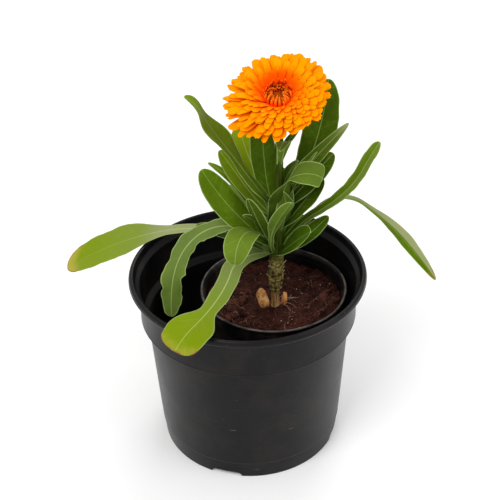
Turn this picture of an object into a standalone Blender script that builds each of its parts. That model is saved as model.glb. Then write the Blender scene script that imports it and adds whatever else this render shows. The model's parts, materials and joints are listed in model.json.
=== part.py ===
"""A double orange calendula in a small nursery pot that stands inside a larger one.

Units are metres, +Z is up. The origin is the centre of the large pot's underside, where it
stands. +X is the photo's right and -Y faces the photo's camera. Plant sizes are written in
millimetres and degrees in the tables, and turned into metres by MM.
"""
import math
import random

import bmesh
import bpy
from mathutils import Matrix, Vector

MM = 0.001
GAP = 0.3 * MM

# Large pot: driving sizes
POT_RIM_RADIUS = 82.5 * MM
POT_HEIGHT = 135.5 * MM
POT_BASE_RADIUS = 64.0 * MM
POT_WALL = 1.4 * MM
POT_FLOOR = 2.0 * MM
POT_COLLAR_BOTTOM = 102.5 * MM
POT_COLLAR_RADIUS = 75.6 * MM
POT_NECK_RADIUS = 71.2 * MM
POT_LIP_RADIUS = 76.2 * MM
POT_LIP_BOTTOM = 127.0 * MM
POT_FOOT_TOP = 13.0 * MM
POT_SIDES = 48
NOTCH_COUNT = 4
NOTCH_ANGLE = 20.0
NOTCH_TURN = -106.6
NOTCH_HEIGHT = 3.6 * MM
NOTCH_DEPTH = 7.0 * MM

# Small pot: driving sizes
CUP_RIM_RADIUS = 52.0 * MM
CUP_TOP = 113.2 * MM
CUP_BASE_RADIUS = 37.0 * MM
CUP_CENTRE = Vector((18.1 * MM, 8.9 * MM, 0.0))
CUP_WALL = 1.2 * MM
CUP_FLOOR = 1.8 * MM
CUP_BOTTOM = POT_FLOOR + GAP
CUP_COLLAR_BOTTOM = 101.0 * MM
CUP_COLLAR_RADIUS = 49.4 * MM
CUP_NECK_RADIUS = 47.0 * MM
CUP_LIP_RADIUS = 49.9 * MM
CUP_LIP_BOTTOM = 110.5 * MM
CUP_SIDES = 40

# Soil
SOIL_TOP = 103.0 * MM
SOIL_ROUGH = 1.3 * MM
SOIL_CALM_RADIUS = 15.0 * MM
SOIL_CALM_EDGE = 8.0 * MM
SOIL_RINGS = 5

# Stem: where it leaves the soil, then its centre line (x, y, z) and radius, in millimetres, from the buried end to the head
STEM_FOOT = Vector((19.0 * MM, 2.0 * MM, 0.0))
STEM_ROUTE = (
    (19.0, 2.0, 66.0, 3.0),
    (19.0, 2.0, 88.0, 3.2),
    (19.0, 2.0, 103.0, 3.2),
    (19.1, 2.0, 115.0, 3.1),
    (19.2, 2.0, 116.2, 4.1),
    (19.3, 2.0, 124.5, 4.5),
    (19.4, 2.0, 125.8, 5.3),
    (19.5, 2.0, 130.8, 5.5),
    (19.5, 2.0, 131.8, 4.8),
    (19.6, 2.0, 136.0, 4.8),
    (20.1, 2.0, 141.0, 5.2),
    (20.7, 2.2, 160.0, 4.7),
    (21.5, 2.5, 185.0, 3.6),
    (22.2, 3.0, 212.0, 2.7),
    (22.6, 3.4, 236.0, 2.5),
    (22.8, 3.2, 250.0, 2.6),
)
STEM_SIDES = 10
STEM_HOLE_RADIUS = 3.2 * MM + GAP

# Bloom: where the head sits on the stem, how far it nods towards -Y and leans towards -X, how
# much longer its rays are on the -X side and from the near left to the far right, and the
# near right where they are shorter: its direction, its spread and how much
HEAD_BASE = Vector((22.2 * MM, 2.4 * MM, 259.5 * MM))
HEAD_NOD = 27.0
HEAD_LEAN = 4.0
RAY_BIAS = 0.045
RAY_SKEW = 0.05
DENT_TURN = 305.0
DENT_SPREAD = 32.0
DENT_DEPTH = 0.15
CORE_RADIUS = 9.4
EYE_RADIUS = 6.2
EYE_FLOOR = 6.8
EYE_FLORETS = 26

BLADE = 0.8 * MM
PETAL_BLADE = 0.65 * MM
GOLDEN_TURN = 137.508

# Leaves. height: where the leaf leaves the stem, above the soil. climb: its angle above
# level, from root to tip. turn: the way it points, 0 is +X and 90 is +Y. roll: how far the
# blade turns about its midrib. cup: how far the edges stand up. base, neck, peak: share of
# the full width at the root, where the blade starts to widen and where it is widest.
# waist: a narrow place and how narrow. tip: 1 is a sharp tip, 4 a blunt one.
LEAVES = {
    "left_long": dict(height=39, length=176, width=29, climb=(26, -1, -18, -28, -32),
                      turn=(146, 165, 173), roll=(0, -10, -22, -16), cup=6, peak=0.72,
                      base=0.32, neck=0.47, tip=3.4),
    "left_hanging": dict(height=48, length=121, width=14.5, climb=(33, 20, -31, -62, -75),
                         turn=(157, 203, 274), roll=(-10, -20, -10), cup=8, peak=0.6,
                         base=0.5, wave=1.5, waves=4),
    "front_over_rim": dict(height=43, length=120, width=33,
                           climb=(18, -6, -6, -4, -4, -8, -42),
                           turn=(186, 204, 258, 250, 242, 232, 228), roll=(0, -8, 5), cup=5,
                           peak=0.86, base=0.42, neck=0.67, waist=(0.69, 0.15), tip=6),
    "front_nodding": dict(height=47.4, length=64, width=21, climb=(62, 30, -85),
                          turn=(203, 258), cup=6, peak=0.66, base=0.3, neck=0.3, tip=2.2),
    "left_oval": dict(height=46.8, length=80, width=20.5, climb=(47, 50, 55), turn=(199, 150),
                      roll=(-20, -50), cup=0, peak=0.56, base=0.35, tip=2.4),
    "left_wavy": dict(height=74, length=108, width=19, climb=(58, 58, 58, 58, 57, 58, 66, 28),
                      turn=(184, 182, 180), roll=(-10, -20, 0), cup=8, peak=0.72, base=0.35,
                      waist=(0.81, 0.25), tip=3, wave=2.0, waves=2),
    "left_inner": dict(height=70, length=62, width=14, climb=(38, 52, 50), turn=(160, 140),
                       roll=(-20, -40), peak=0.6, base=0.4),
    "left_narrow": dict(height=62, length=67, width=7, climb=(35, 58, 25), turn=(162, 165),
                        roll=(-20, -30), peak=0.6, base=0.5),
    "left_upright": dict(height=84, length=60, width=21, climb=(32, 44, 56), turn=(148, 112),
                         roll=(-20, -50), peak=0.6),
    "centre_tall": dict(height=70, length=80, width=18, climb=(66, 84, 88), turn=(160, 130),
                        roll=(-40, -60), base=0.4),
    "front_curled": dict(height=105, length=40, width=10, climb=(78, 78, 70, -75),
                         turn=(320, 300, 225), peak=0.74, base=0.5),
    "right_bract": dict(height=121, length=23, width=5, climb=(55, 52, 50), turn=(5, 15),
                        roll=(20, 50), peak=0.5, base=0.5, tip=1.3),
    "right_tall": dict(height=74, length=100, width=23, climb=(34, 50, 76), turn=(42, 68),
                       roll=(10, 40), cup=8, peak=0.68, base=0.3),
    "right_slim": dict(height=80, length=74, width=11, climb=(62, 44, 42), turn=(20, 20),
                       roll=(20, 60), peak=0.45, base=0.5, tip=1.2),
    "right_sliver": dict(height=76, length=56, width=6, climb=(65, 62, 60), turn=(345, 345),
                         roll=(20, 20), peak=0.5, base=0.5),
    "right_folded": dict(height=58, length=77, width=17, climb=(76, 76, 80, 70, 16, -45),
                         turn=(300, 300, 280, 320, 352, 375), roll=(0, 0, 0, 0, 30, 50),
                         cup=8, peak=0.9, base=1.15, neck=0.0, waist=(0.56, 0.5), tip=5),
    "right_small": dict(height=74, length=42, width=12, climb=(85, 70, 45), turn=(50, 10),
                        peak=0.6, base=0.5),
    "right_round": dict(height=74, length=57, width=17, climb=(52, 48, 44), turn=(5, 18),
                        roll=(20, 40), base=0.4),
    "right_long": dict(height=45, length=106, width=9, climb=(55, 51, 33, 42, 62, 54),
                       turn=(8, 0, 0, 10, 18, 20), roll=(20, 35), cup=18, peak=0.8, base=0.7,
                       tip=4),
    "right_hanging": dict(height=43, length=155, width=12, climb=(12, 54, -38, -46, -46),
                          turn=(44, -3, -35), roll=(0, 20, 40), cup=25, peak=0.76, base=0.4,
                          neck=0.5, tip=1.1),
    "right_low_front": dict(height=41, length=48, width=20, climb=(48, 48, 44),
                            turn=(306, 318), roll=(30, 40), peak=0.6, base=0.4),
    "right_low_back": dict(height=41, length=46, width=11.5, climb=(26, 38, 48),
                           turn=(10, 10), roll=(20, 45), peak=0.6, base=0.4),
    "front_spoon": dict(height=43, length=60, width=13, climb=(40, 75, 64, 55),
                        turn=(230, 272, 332, 345), roll=(0, -20, -50), peak=0.72, base=0.3,
                        neck=0.4, tip=2.5),
    "front_pointed": dict(height=56, length=45, width=14, climb=(62, 78, 75),
                          turn=(310, 310, 215), peak=0.52, base=0.4, tip=1.4),
    "right_middle": dict(height=60, length=52, width=20, climb=(52, 56, 50), turn=(-12, 5),
                         roll=(10, 30), peak=0.6, base=0.4),
    "front_upright": dict(height=47, length=62, width=12, climb=(52, 64, 66), turn=(235, 232),
                          roll=(0, 20), peak=0.6, base=0.4, tip=1.6),
    "front_low": dict(height=38.5, length=54, width=10, climb=(50, 68), turn=(225, 222),
                      roll=(10, 45), peak=0.65, base=0.4, tip=1.8),
    "left_low": dict(height=38, length=62, width=13, climb=(46, 14, 8), turn=(162, 172),
                     roll=(-10, -20), peak=0.55, base=0.4),
    "back_left": dict(height=50, length=75, width=20, climb=(50, 40, 20), turn=(100, 105),
                      peak=0.6, base=0.35),
    "back_right": dict(height=46, length=70, width=20, climb=(45, 35, 10), turn=(58, 50),
                       peak=0.6, base=0.35),
    "back_low": dict(height=40, length=80, width=20, climb=(35, 20, -10), turn=(120, 128),
                     peak=0.6, base=0.35),
    "back_upper": dict(height=62, length=44, width=15, climb=(60, 50, 40), turn=(85, 80),
                       peak=0.6, base=0.35),
}
LEAF_DEFAULTS = dict(roll=(0, 0), cup=12, base=0.22, neck=0.0, peak=0.62,
                     waist=(0.5, 0.0), tip=2.0, wave=0.0, waves=2.5)
LEAF_STATION = 9.0

# Petal rings, from the outermost in: count, length, width, root height in the head, the
# climb at the root and at the tip, and the root's distance from the head's axis
PETAL_RINGS = (
    dict(count=19, length=28.0, width=8.6, root=3.0, climb=(14, 2), inset=6.5),
    dict(count=19, length=26.0, width=8.4, root=4.2, climb=(26, 4), inset=6.4),
    dict(count=17, length=22.0, width=7.6, root=5.4, climb=(36, 6), inset=6.8),
    dict(count=15, length=17.0, width=6.8, root=6.4, climb=(48, 8), inset=7.2),
    dict(count=13, length=11.5, width=5.6, root=7.0, climb=(62, 14), inset=7.8),
    dict(count=11, length=7.5, width=4.0, root=7.6, climb=(80, 118), inset=8.2),
)
PETAL_STATIONS = ((0.0, 0.4), (0.45, 0.88), (0.8, 1.0), (1.0, 0.55))
PETAL_LEAN = 8.0
BRACTS = 13


def remove_everything():
    for item in list(bpy.data.objects):
        bpy.data.objects.remove(item, do_unlink=True)


def principled(name, colour, roughness):
    """A plain material with the part's colour."""
    material = bpy.data.materials.new(name)
    material.use_nodes = True
    shader = material.node_tree.nodes["Principled BSDF"]
    shader.inputs["Base Color"].default_value = (*colour, 1.0)
    shader.inputs["Roughness"].default_value = roughness
    shader.inputs["Metallic"].default_value = 0.0
    return material


def add_object(name, mesh, material=None):
    item = bpy.data.objects.new(name, mesh)
    bpy.context.scene.collection.objects.link(item)
    if material is not None:
        mesh.materials.clear()
        mesh.materials.append(material)
    return item


def mesh_from(name, points, faces):
    mesh = bpy.data.meshes.new(name)
    mesh.from_pydata([tuple(point) for point in points], [], faces)
    bm = bmesh.new()
    bm.from_mesh(mesh)
    bmesh.ops.recalc_face_normals(bm, faces=bm.faces)
    bm.to_mesh(mesh)
    bm.free()
    return mesh


def smooth(item, angle=40.0):
    item.data.shade_smooth()
    item.data.set_sharp_from_angle(angle=math.radians(angle))


def turned(name, profile, sides, centre=Vector((0.0, 0.0, 0.0))):
    """A closed body turned about the upright axis. The profile runs from axis to axis."""
    points = []
    rings = []
    for radius, height in profile:
        if radius == 0.0:
            rings.append([len(points)])
            points.append(centre + Vector((0.0, 0.0, height)))
            continue
        ring = []
        for side in range(sides):
            angle = 2.0 * math.pi * side / sides
            ring.append(len(points))
            points.append(centre + Vector((radius * math.cos(angle), radius * math.sin(angle), height)))
        rings.append(ring)
    faces = []
    for first, second in zip(rings, rings[1:]):
        for side in range(sides):
            after = (side + 1) % sides
            if len(first) == 1:
                faces.append((first[0], second[side], second[after]))
            elif len(second) == 1:
                faces.append((first[side], second[0], first[after]))
            else:
                faces.append((first[side], second[side], second[after], first[after]))
    return mesh_from(name, points, faces)


def boolean(item, operation, other=None, collection=None):
    """Applies one Boolean and removes what it used."""
    modifier = item.modifiers.new("shape", "BOOLEAN")
    modifier.operation = operation
    modifier.solver = "EXACT"
    if other is not None:
        modifier.object = other
    else:
        modifier.operand_type = "COLLECTION"
        modifier.collection = collection
    depsgraph = bpy.context.evaluated_depsgraph_get()
    result = bpy.data.meshes.new_from_object(item.evaluated_get(depsgraph))
    item.modifiers.clear()
    item.data = result
    if other is not None:
        bpy.data.objects.remove(other, do_unlink=True)
    else:
        for used in list(collection.objects):
            bpy.data.objects.remove(used, do_unlink=True)
        bpy.data.collections.remove(collection)


def fuse(core, repeats, material):
    """Joins the repeats to the core in one body, in one union."""
    collection = bpy.data.collections.new(core.name + "_repeats")
    bpy.context.scene.collection.children.link(collection)
    for mesh in repeats:
        collection.objects.link(bpy.data.objects.new(mesh.name, mesh))
    boolean(core, "UNION", collection=collection)
    core.data.materials.clear()
    core.data.materials.append(material)


def spread(values, share):
    """Reads a value between the given ones, which lie evenly from root to tip."""
    place = share * (len(values) - 1)
    index = min(int(place), len(values) - 2)
    return values[index] + (values[index + 1] - values[index]) * (place - index)


def heading(climb, turn):
    climb = math.radians(climb)
    turn = math.radians(turn)
    return Vector((math.cos(climb) * math.cos(turn), math.cos(climb) * math.sin(turn), math.sin(climb)))


def stem_point(height):
    """The stem's centre at a height in metres."""
    for low, high in zip(STEM_ROUTE, STEM_ROUTE[1:]):
        if height <= high[2] * MM:
            share = (height / MM - low[2]) / (high[2] - low[2])
            return Vector(low[:3]).lerp(Vector(high[:3]), share) * MM
    return Vector(STEM_ROUTE[-1][:3]) * MM


def half_width(leaf, share):
    """Half the blade's width at a share of its length, in millimetres."""
    width = leaf["width"] / 2.0
    place, depth = leaf["waist"]
    width *= 1.0 - depth * math.exp(-((share - place) / 0.08) ** 2)
    if share < leaf["peak"]:
        rise = max(0.0, (share - leaf["neck"]) / (leaf["peak"] - leaf["neck"]))
        return width * (leaf["base"] + (1.0 - leaf["base"]) * math.sin(math.pi / 2.0 * rise) ** 2)
    run = (share - leaf["peak"]) / (1.0 - leaf["peak"])
    return width * math.sqrt(max(0.0, 1.0 - run ** leaf["tip"]))


def leaf_sections(leaf, count):
    """Left edge, midrib and right edge points along the leaf, with the blade's normal."""
    steps = 12
    point = stem_point(SOIL_TOP + leaf["height"] * MM)
    stride = leaf["length"] * MM / (count * steps)
    cup = math.radians(leaf["cup"])
    sections = []
    for station in range(count + 1):
        share = station / count
        climb = spread(leaf["climb"], share)
        turn = spread(leaf["turn"], share)
        along = heading(climb, turn)
        side = heading(0.0, turn + 90.0)
        normal = along.cross(side)
        roll = Matrix.Rotation(math.radians(spread(leaf["roll"], share)), 3, along)
        side = roll @ side
        normal = roll @ normal
        width = max(half_width(leaf, share), 0.5) * MM
        fade = min(1.0, 4.0 * share) * min(1.0, max(0.2, 5.0 * (1.0 - share)))
        swing = 2.0 * math.pi * leaf["waves"] * share
        lift = width * math.sin(cup)
        left = point - side * width * math.cos(cup)
        left += normal * (lift + leaf["wave"] * MM * fade * math.sin(swing))
        right = point + side * width * math.cos(cup)
        right += normal * (lift + leaf["wave"] * MM * fade * math.sin(swing + 0.9))
        sections.append((left, point.copy(), right, normal))
        for step in range(steps):
            inside = (station + (step + 0.5) / steps) / count
            if inside < 1.0:
                point = point + heading(spread(leaf["climb"], inside), spread(leaf["turn"], inside)) * stride
    return sections


def blade_mesh(name, sections, thickness):
    """A closed blade from rows of points, with both faces split into triangles alike."""
    columns = len(sections[0]) - 1
    points = []
    for row in sections:
        normal = row[-1]
        for point in row[:-1]:
            points.append(point + normal * thickness / 2.0)
        for point in row[:-1]:
            points.append(point - normal * thickness / 2.0)
    width = 2 * columns
    faces = []
    for row in range(len(sections) - 1):
        here = row * width
        there = here + width
        for column in range(columns - 1):
            for shift in (0, columns):
                a = here + shift + column
                b = a + 1
                c = there + shift + column + 1
                d = c - 1
                faces.append((a, b, c))
                faces.append((a, c, d))
        for column in (0, columns - 1):
            faces.append((here + column, there + column, there + columns + column, here + columns + column))
    for row in (0, len(sections) - 1):
        here = row * width
        for column in range(columns - 1):
            faces.append((here + column, here + column + 1, here + columns + column + 1, here + columns + column))
    return mesh_from(name, points, faces)


def leaf_mesh(name):
    leaf = dict(LEAF_DEFAULTS)
    leaf.update(LEAVES[name])
    count = max(6, min(15, round(leaf["length"] / LEAF_STATION)))
    return blade_mesh(name, leaf_sections(leaf, count), BLADE)


def tube_mesh(name, route, sides):
    """A closed round body along a nearly upright route of (x, y, z, radius)."""
    points = []
    for index, (x, y, z, radius) in enumerate(route):
        before = Vector(route[max(0, index - 1)][:3])
        after = Vector(route[min(len(route) - 1, index + 1)][:3])
        along = (after - before).normalized()
        across = along.orthogonal().normalized() if abs(along.x) > 0.9 else along.cross(Vector((0, 1, 0))).normalized()
        other = along.cross(across)
        for side in range(sides):
            angle = 2.0 * math.pi * side / sides
            offset = (across * math.cos(angle) + other * math.sin(angle)) * radius
            points.append((Vector((x, y, z)) + offset) * MM)
    faces = [tuple(range(sides)), tuple(range(len(points) - sides, len(points)))]
    for ring in range(len(route) - 1):
        for side in range(sides):
            after = (side + 1) % sides
            low = ring * sides
            faces.append((low + side, low + after, low + sides + after, low + sides + side))
    return mesh_from(name, points, faces)


def head_frame():
    """The head's own frame: origin on the stem's end, Z along the head's axis."""
    nod = Matrix.Rotation(math.radians(HEAD_NOD), 4, "X")
    lean = Matrix.Rotation(math.radians(-HEAD_LEAN), 4, "Y")
    return Matrix.Translation(HEAD_BASE) @ lean @ nod


def petal_sections(ring, turn, tilt, length, width):
    """Rows of points along one petal, in the head's frame, in metres."""
    steps = 6
    climb = (ring["climb"][0] + tilt, ring["climb"][1] + tilt)
    out = heading(0.0, turn)
    point = out * ring["inset"] * MM + Vector((0.0, 0.0, ring["root"] * MM))
    level = heading(0.0, turn + 90.0)
    sections = []
    done = 0.0
    for share, wide in PETAL_STATIONS:
        while done < share - 1e-6:
            step = min(1.0 / steps, share - done)
            point = point + heading(spread(climb, done + step / 2.0), turn) * length * step * MM
            done += step
        along = heading(spread(climb, share), turn)
        side = Matrix.Rotation(math.radians(PETAL_LEAN), 3, along) @ level
        normal = along.cross(side)
        half = width / 2.0 * wide * MM
        sections.append((point - side * half, point + side * half, normal))
    return sections


def ray_reach(turn):
    """How long a ray is for the way it points, as a share of its ring's length."""
    away = (turn - DENT_TURN + 180.0) % 360.0 - 180.0
    share = 1.0 - RAY_BIAS * math.cos(math.radians(turn))
    share += RAY_SKEW * math.cos(math.radians(2.0 * turn - 90.0))
    return share - DENT_DEPTH * math.exp(-(away / DENT_SPREAD) ** 2)


def bloom_petals():
    """Every ray of the bloom, ring by ring, each ring turned to fill the one below."""
    rng = random.Random(7)
    meshes = []
    for index, ring in enumerate(PETAL_RINGS):
        for number in range(ring["count"]):
            turn = 360.0 * (number + 0.5 * (index % 2)) / ring["count"] + rng.uniform(-2.5, 2.5)
            tilt = rng.uniform(-2.5, 2.5)
            length = ring["length"] * rng.uniform(0.94, 1.06) * ray_reach(turn)
            width = ring["width"] * rng.uniform(0.92, 1.06)
            sections = petal_sections(ring, turn, tilt, length, width)
            meshes.append(blade_mesh("petal", sections, PETAL_BLADE))
    return meshes


def place_in_head(meshes):
    frame = head_frame()
    for mesh in meshes:
        mesh.transform(frame)


def core_profile():
    """The bloom's body, with the cup that the eye sits in, in the head's frame."""
    return [(radius * MM, height * MM) for radius, height in (
        (0.0, 0.4), (4.0, 0.6), (8.0, 2.2), (CORE_RADIUS, 4.2), (CORE_RADIUS, 8.0),
        (8.4, 9.2), (EYE_RADIUS + 0.4, 8.6), (EYE_RADIUS + 0.4, EYE_FLOOR - 0.4), (0.0, EYE_FLOOR - 0.4))]


def cup_below_head():
    """The green cup that carries the bloom, 0.3 mm below its body."""
    return [(radius * MM, height * MM) for radius, height in (
        (0.0, -9.0), (2.6, -9.0), (3.6, -5.5), (7.2, -1.2), (9.6, 1.6), (8.4, 1.9), (4.2, 0.1), (0.0, 0.0))]


def bract_meshes():
    """Narrow green bracts that spread under the petals."""
    meshes = []
    for number in range(BRACTS):
        turn = 360.0 * number / BRACTS
        side = heading(0.0, turn + 90.0)
        sections = []
        for reach, height, half in ((6.5, -0.6, 1.5), (11.0, 0.9, 1.6), (15.5, 1.0, 0.5)):
            point = (heading(0.0, turn) * reach + Vector((0.0, 0.0, height))) * MM
            sections.append((point - side * half * MM, point + side * half * MM, Vector((0.0, 0.0, 1.0))))
        meshes.append(blade_mesh("bract", sections, PETAL_BLADE))
    return meshes


def floret_mesh(place, lean, height):
    """One small pointed floret of the eye, three-sided."""
    points = []
    for side in range(3):
        angle = 2.0 * math.pi * side / 3.0 + place.angle_signed(Vector((1, 0)), 0.0)
        points.append(Vector((place.x + 0.8 * math.cos(angle), place.y + 0.8 * math.sin(angle), EYE_FLOOR + 0.3)) * MM)
    top = Vector((place.x * lean, place.y * lean, EYE_FLOOR + height)) * MM
    points.append(top)
    return mesh_from("floret", points, [(0, 1, 2), (0, 1, 3), (1, 2, 3), (2, 0, 3)])


def eye_profile():
    return [(radius * MM, height * MM) for radius, height in (
        (0.0, EYE_FLOOR), (EYE_RADIUS, EYE_FLOOR), (EYE_RADIUS, EYE_FLOOR + 0.9),
        (EYE_RADIUS * 0.6, EYE_FLOOR + 1.5), (0.0, EYE_FLOOR + 1.7))]


def large_pot(material):
    wall = POT_WALL
    profile = [
        (0.0, 0.0),
        (POT_BASE_RADIUS, 0.0),
        (POT_BASE_RADIUS + 1.0 * MM, POT_FOOT_TOP),
        (POT_BASE_RADIUS + 1.5 * MM, POT_FOOT_TOP + 0.6 * MM),
        (POT_NECK_RADIUS, POT_COLLAR_BOTTOM - 3.0 * MM),
        (POT_COLLAR_RADIUS, POT_COLLAR_BOTTOM),
        (POT_LIP_RADIUS, POT_LIP_BOTTOM),
        (79.0 * MM, 128.5 * MM),
        (POT_RIM_RADIUS, 132.3 * MM),
        (81.9 * MM, 134.8 * MM),
        (80.6 * MM, POT_HEIGHT),
        (79.2 * MM, 135.0 * MM),
        (78.2 * MM, 130.5 * MM),
        (POT_LIP_RADIUS - wall, POT_LIP_BOTTOM),
        (POT_COLLAR_RADIUS - wall, POT_COLLAR_BOTTOM),
        (POT_NECK_RADIUS - wall, POT_COLLAR_BOTTOM - 3.0 * MM),
        (POT_BASE_RADIUS + 0.2 * MM - wall, POT_FLOOR + 1.0 * MM),
        (POT_BASE_RADIUS - wall - 1.0 * MM, POT_FLOOR),
        (0.0, POT_FLOOR),
    ]
    pot = add_object("outer_pot", turned("outer_pot", profile, POT_SIDES))
    cutters = bpy.data.collections.new("notches")
    bpy.context.scene.collection.children.link(cutters)
    for number in range(NOTCH_COUNT):
        cutters.objects.link(bpy.data.objects.new("notch", notch_mesh(NOTCH_TURN + 90.0 * number)))
    boolean(pot, "DIFFERENCE", collection=cutters)
    pot.data.materials.clear()
    pot.data.materials.append(material)
    smooth(pot, 30.0)


def notch_mesh(turn):
    """A block that cuts one drain notch, through the wall and into the floor."""
    inner = POT_BASE_RADIUS - NOTCH_DEPTH
    outer = POT_BASE_RADIUS + 4.0 * MM
    steps = 4
    points = []
    for height in (-1.0 * MM, NOTCH_HEIGHT):
        for radius in (inner, outer):
            for step in range(steps + 1):
                angle = turn + NOTCH_ANGLE * (step / steps - 0.5)
                points.append(heading(0.0, angle) * radius + Vector((0.0, 0.0, height)))
    row = steps + 1
    faces = []
    for step in range(steps):
        faces.append((step, step + 1, row + step + 1, row + step))
        faces.append((2 * row + step, 2 * row + step + 1, 3 * row + step + 1, 3 * row + step))
        faces.append((step, step + 1, 2 * row + step + 1, 2 * row + step))
        faces.append((row + step, row + step + 1, 3 * row + step + 1, 3 * row + step))
    for step in (0, steps):
        faces.append((step, row + step, 3 * row + step, 2 * row + step))
    return mesh_from("notch", points, faces)


def small_pot(material):
    wall = CUP_WALL
    profile = [
        (0.0, CUP_BOTTOM),
        (CUP_BASE_RADIUS, CUP_BOTTOM),
        (CUP_NECK_RADIUS, CUP_COLLAR_BOTTOM - 2.5 * MM),
        (CUP_COLLAR_RADIUS, CUP_COLLAR_BOTTOM),
        (CUP_LIP_RADIUS, CUP_LIP_BOTTOM),
        (CUP_RIM_RADIUS, 111.6 * MM),
        (CUP_RIM_RADIUS, 113.0 * MM),
        (51.4 * MM, CUP_TOP + 0.3 * MM),
        (50.6 * MM, CUP_TOP),
        (CUP_LIP_RADIUS - wall, CUP_LIP_BOTTOM),
        (CUP_COLLAR_RADIUS - wall, CUP_COLLAR_BOTTOM),
        (CUP_NECK_RADIUS - wall, CUP_COLLAR_BOTTOM - 2.5 * MM),
        (CUP_BASE_RADIUS - wall, CUP_BOTTOM + CUP_FLOOR),
        (0.0, CUP_BOTTOM + CUP_FLOOR),
    ]
    pot = add_object("inner_pot", turned("inner_pot", profile, CUP_SIDES, CUP_CENTRE), material)
    smooth(pot, 30.0)


def soil_height(x, y):
    """The soil's surface: calm round the stem, and lumpy towards the pot's wall."""
    reach = math.hypot(x - STEM_FOOT.x, y - STEM_FOOT.y)
    calm = min(1.0, max(0.0, (reach - SOIL_CALM_RADIUS) / SOIL_CALM_EDGE))
    wave = math.sin(x / MM * 0.41 + 1.3) * math.cos(y / MM * 0.37 - 0.6)
    wave += 0.6 * math.sin(x / MM * 0.83 - y / MM * 0.71 + 2.1)
    return SOIL_TOP + SOIL_ROUGH * 0.6 * calm * wave


def soil(material):
    """The potting soil, filling the small pot to just below its rim, with the stem's hole."""
    clear = CUP_WALL + GAP
    wall = [
        (0.0, CUP_BOTTOM + CUP_FLOOR + GAP),
        (CUP_BASE_RADIUS - clear, CUP_BOTTOM + CUP_FLOOR + GAP),
        (CUP_NECK_RADIUS - clear, CUP_COLLAR_BOTTOM - 2.5 * MM),
        (CUP_COLLAR_RADIUS - clear - 0.2 * MM, CUP_COLLAR_BOTTOM + 0.3 * MM),
    ]
    edge = wall[-1][0]
    top = [(edge * (1.0 - ring / SOIL_RINGS), SOIL_TOP) for ring in range(SOIL_RINGS)]
    mesh = turned("potting_soil", wall + top + [(0.0, SOIL_TOP)], CUP_SIDES, CUP_CENTRE)
    for vertex in mesh.vertices:
        if vertex.co.z > SOIL_TOP - 0.01 * MM:
            vertex.co.z = soil_height(vertex.co.x, vertex.co.y)
    body = add_object("potting_soil", mesh)
    hole_bottom = STEM_ROUTE[0][2] * MM - GAP
    hole_profile = [(0.0, hole_bottom), (STEM_HOLE_RADIUS, hole_bottom),
                    (STEM_HOLE_RADIUS, SOIL_TOP + 6.0 * MM), (0.0, SOIL_TOP + 6.0 * MM)]
    hole = add_object("hole", turned("hole", hole_profile, 2 * STEM_SIDES, STEM_FOOT))
    boolean(body, "DIFFERENCE", other=hole)
    body.data.materials.clear()
    body.data.materials.append(material)
    smooth(body, 50.0)


def bark_chip(name, centre, size, lean, seed, material):
    """A worn chip of bark beside the stem, flat where it stands on the calm soil."""
    rng = random.Random(seed)
    bm = bmesh.new()
    bmesh.ops.create_icosphere(bm, subdivisions=2, radius=0.5)
    tip = Matrix.Rotation(math.radians(lean[0]), 3, "X") @ Matrix.Rotation(math.radians(lean[1]), 3, "Y")
    foot = SOIL_TOP + GAP
    middle = Vector((centre[0] * MM, centre[1] * MM, foot + 0.36 * size[2] * MM))
    for vertex in bm.verts:
        worn = 1.0 + rng.uniform(-0.07, 0.07)
        shape = Vector((vertex.co.x * size[0], vertex.co.y * size[1], vertex.co.z * size[2])) * worn
        vertex.co = middle + (tip @ shape) * MM
    everything = bm.verts[:] + bm.edges[:] + bm.faces[:]
    bmesh.ops.bisect_plane(bm, geom=everything, plane_co=(0.0, 0.0, foot), plane_no=(0.0, 0.0, 1.0), clear_inner=True)
    bmesh.ops.holes_fill(bm, edges=bm.edges[:])
    mesh = bpy.data.meshes.new(name)
    bm.to_mesh(mesh)
    bm.free()
    chip = add_object(name, mesh, material)
    smooth(chip, 50.0)


def leafy_stem(material):
    stem = add_object("leafy_stem", tube_mesh("leafy_stem", STEM_ROUTE + (neck_point(),), STEM_SIDES))
    cup = turned("cup", cup_below_head(), 2 * STEM_SIDES)
    bracts = bract_meshes()
    place_in_head([cup] + bracts)
    fuse(stem, [leaf_mesh(name) for name in LEAVES] + [cup] + bracts, material)
    smooth(stem, 35.0)


def neck_point():
    """The stem's last point, sunk into the green cup under the bloom."""
    point = head_frame() @ Vector((0.0, 0.0, -6.0 * MM)) / MM
    return (point.x, point.y, point.z, 2.4)


def bloom(petal_material, eye_material):
    core = turned("bloom_petals", core_profile(), 24)
    petals = bloom_petals()
    place_in_head([core] + petals)
    rays = add_object("bloom_petals", core)
    fuse(rays, petals, petal_material)
    smooth(rays, 35.0)
    dome = turned("bloom_eye", eye_profile(), 24)
    florets = []
    for number in range(1, EYE_FLORETS + 1):
        reach = (EYE_RADIUS - 1.1) * math.sqrt(number / EYE_FLORETS)
        out = heading(0.0, GOLDEN_TURN * number)
        florets.append(floret_mesh(Vector((out.x, out.y)) * reach, 0.86, 2.6 + 0.9 * reach / EYE_RADIUS))
    place_in_head([dome] + florets)
    eye = add_object("bloom_eye", dome)
    fuse(eye, florets, eye_material)
    smooth(eye, 35.0)


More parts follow.
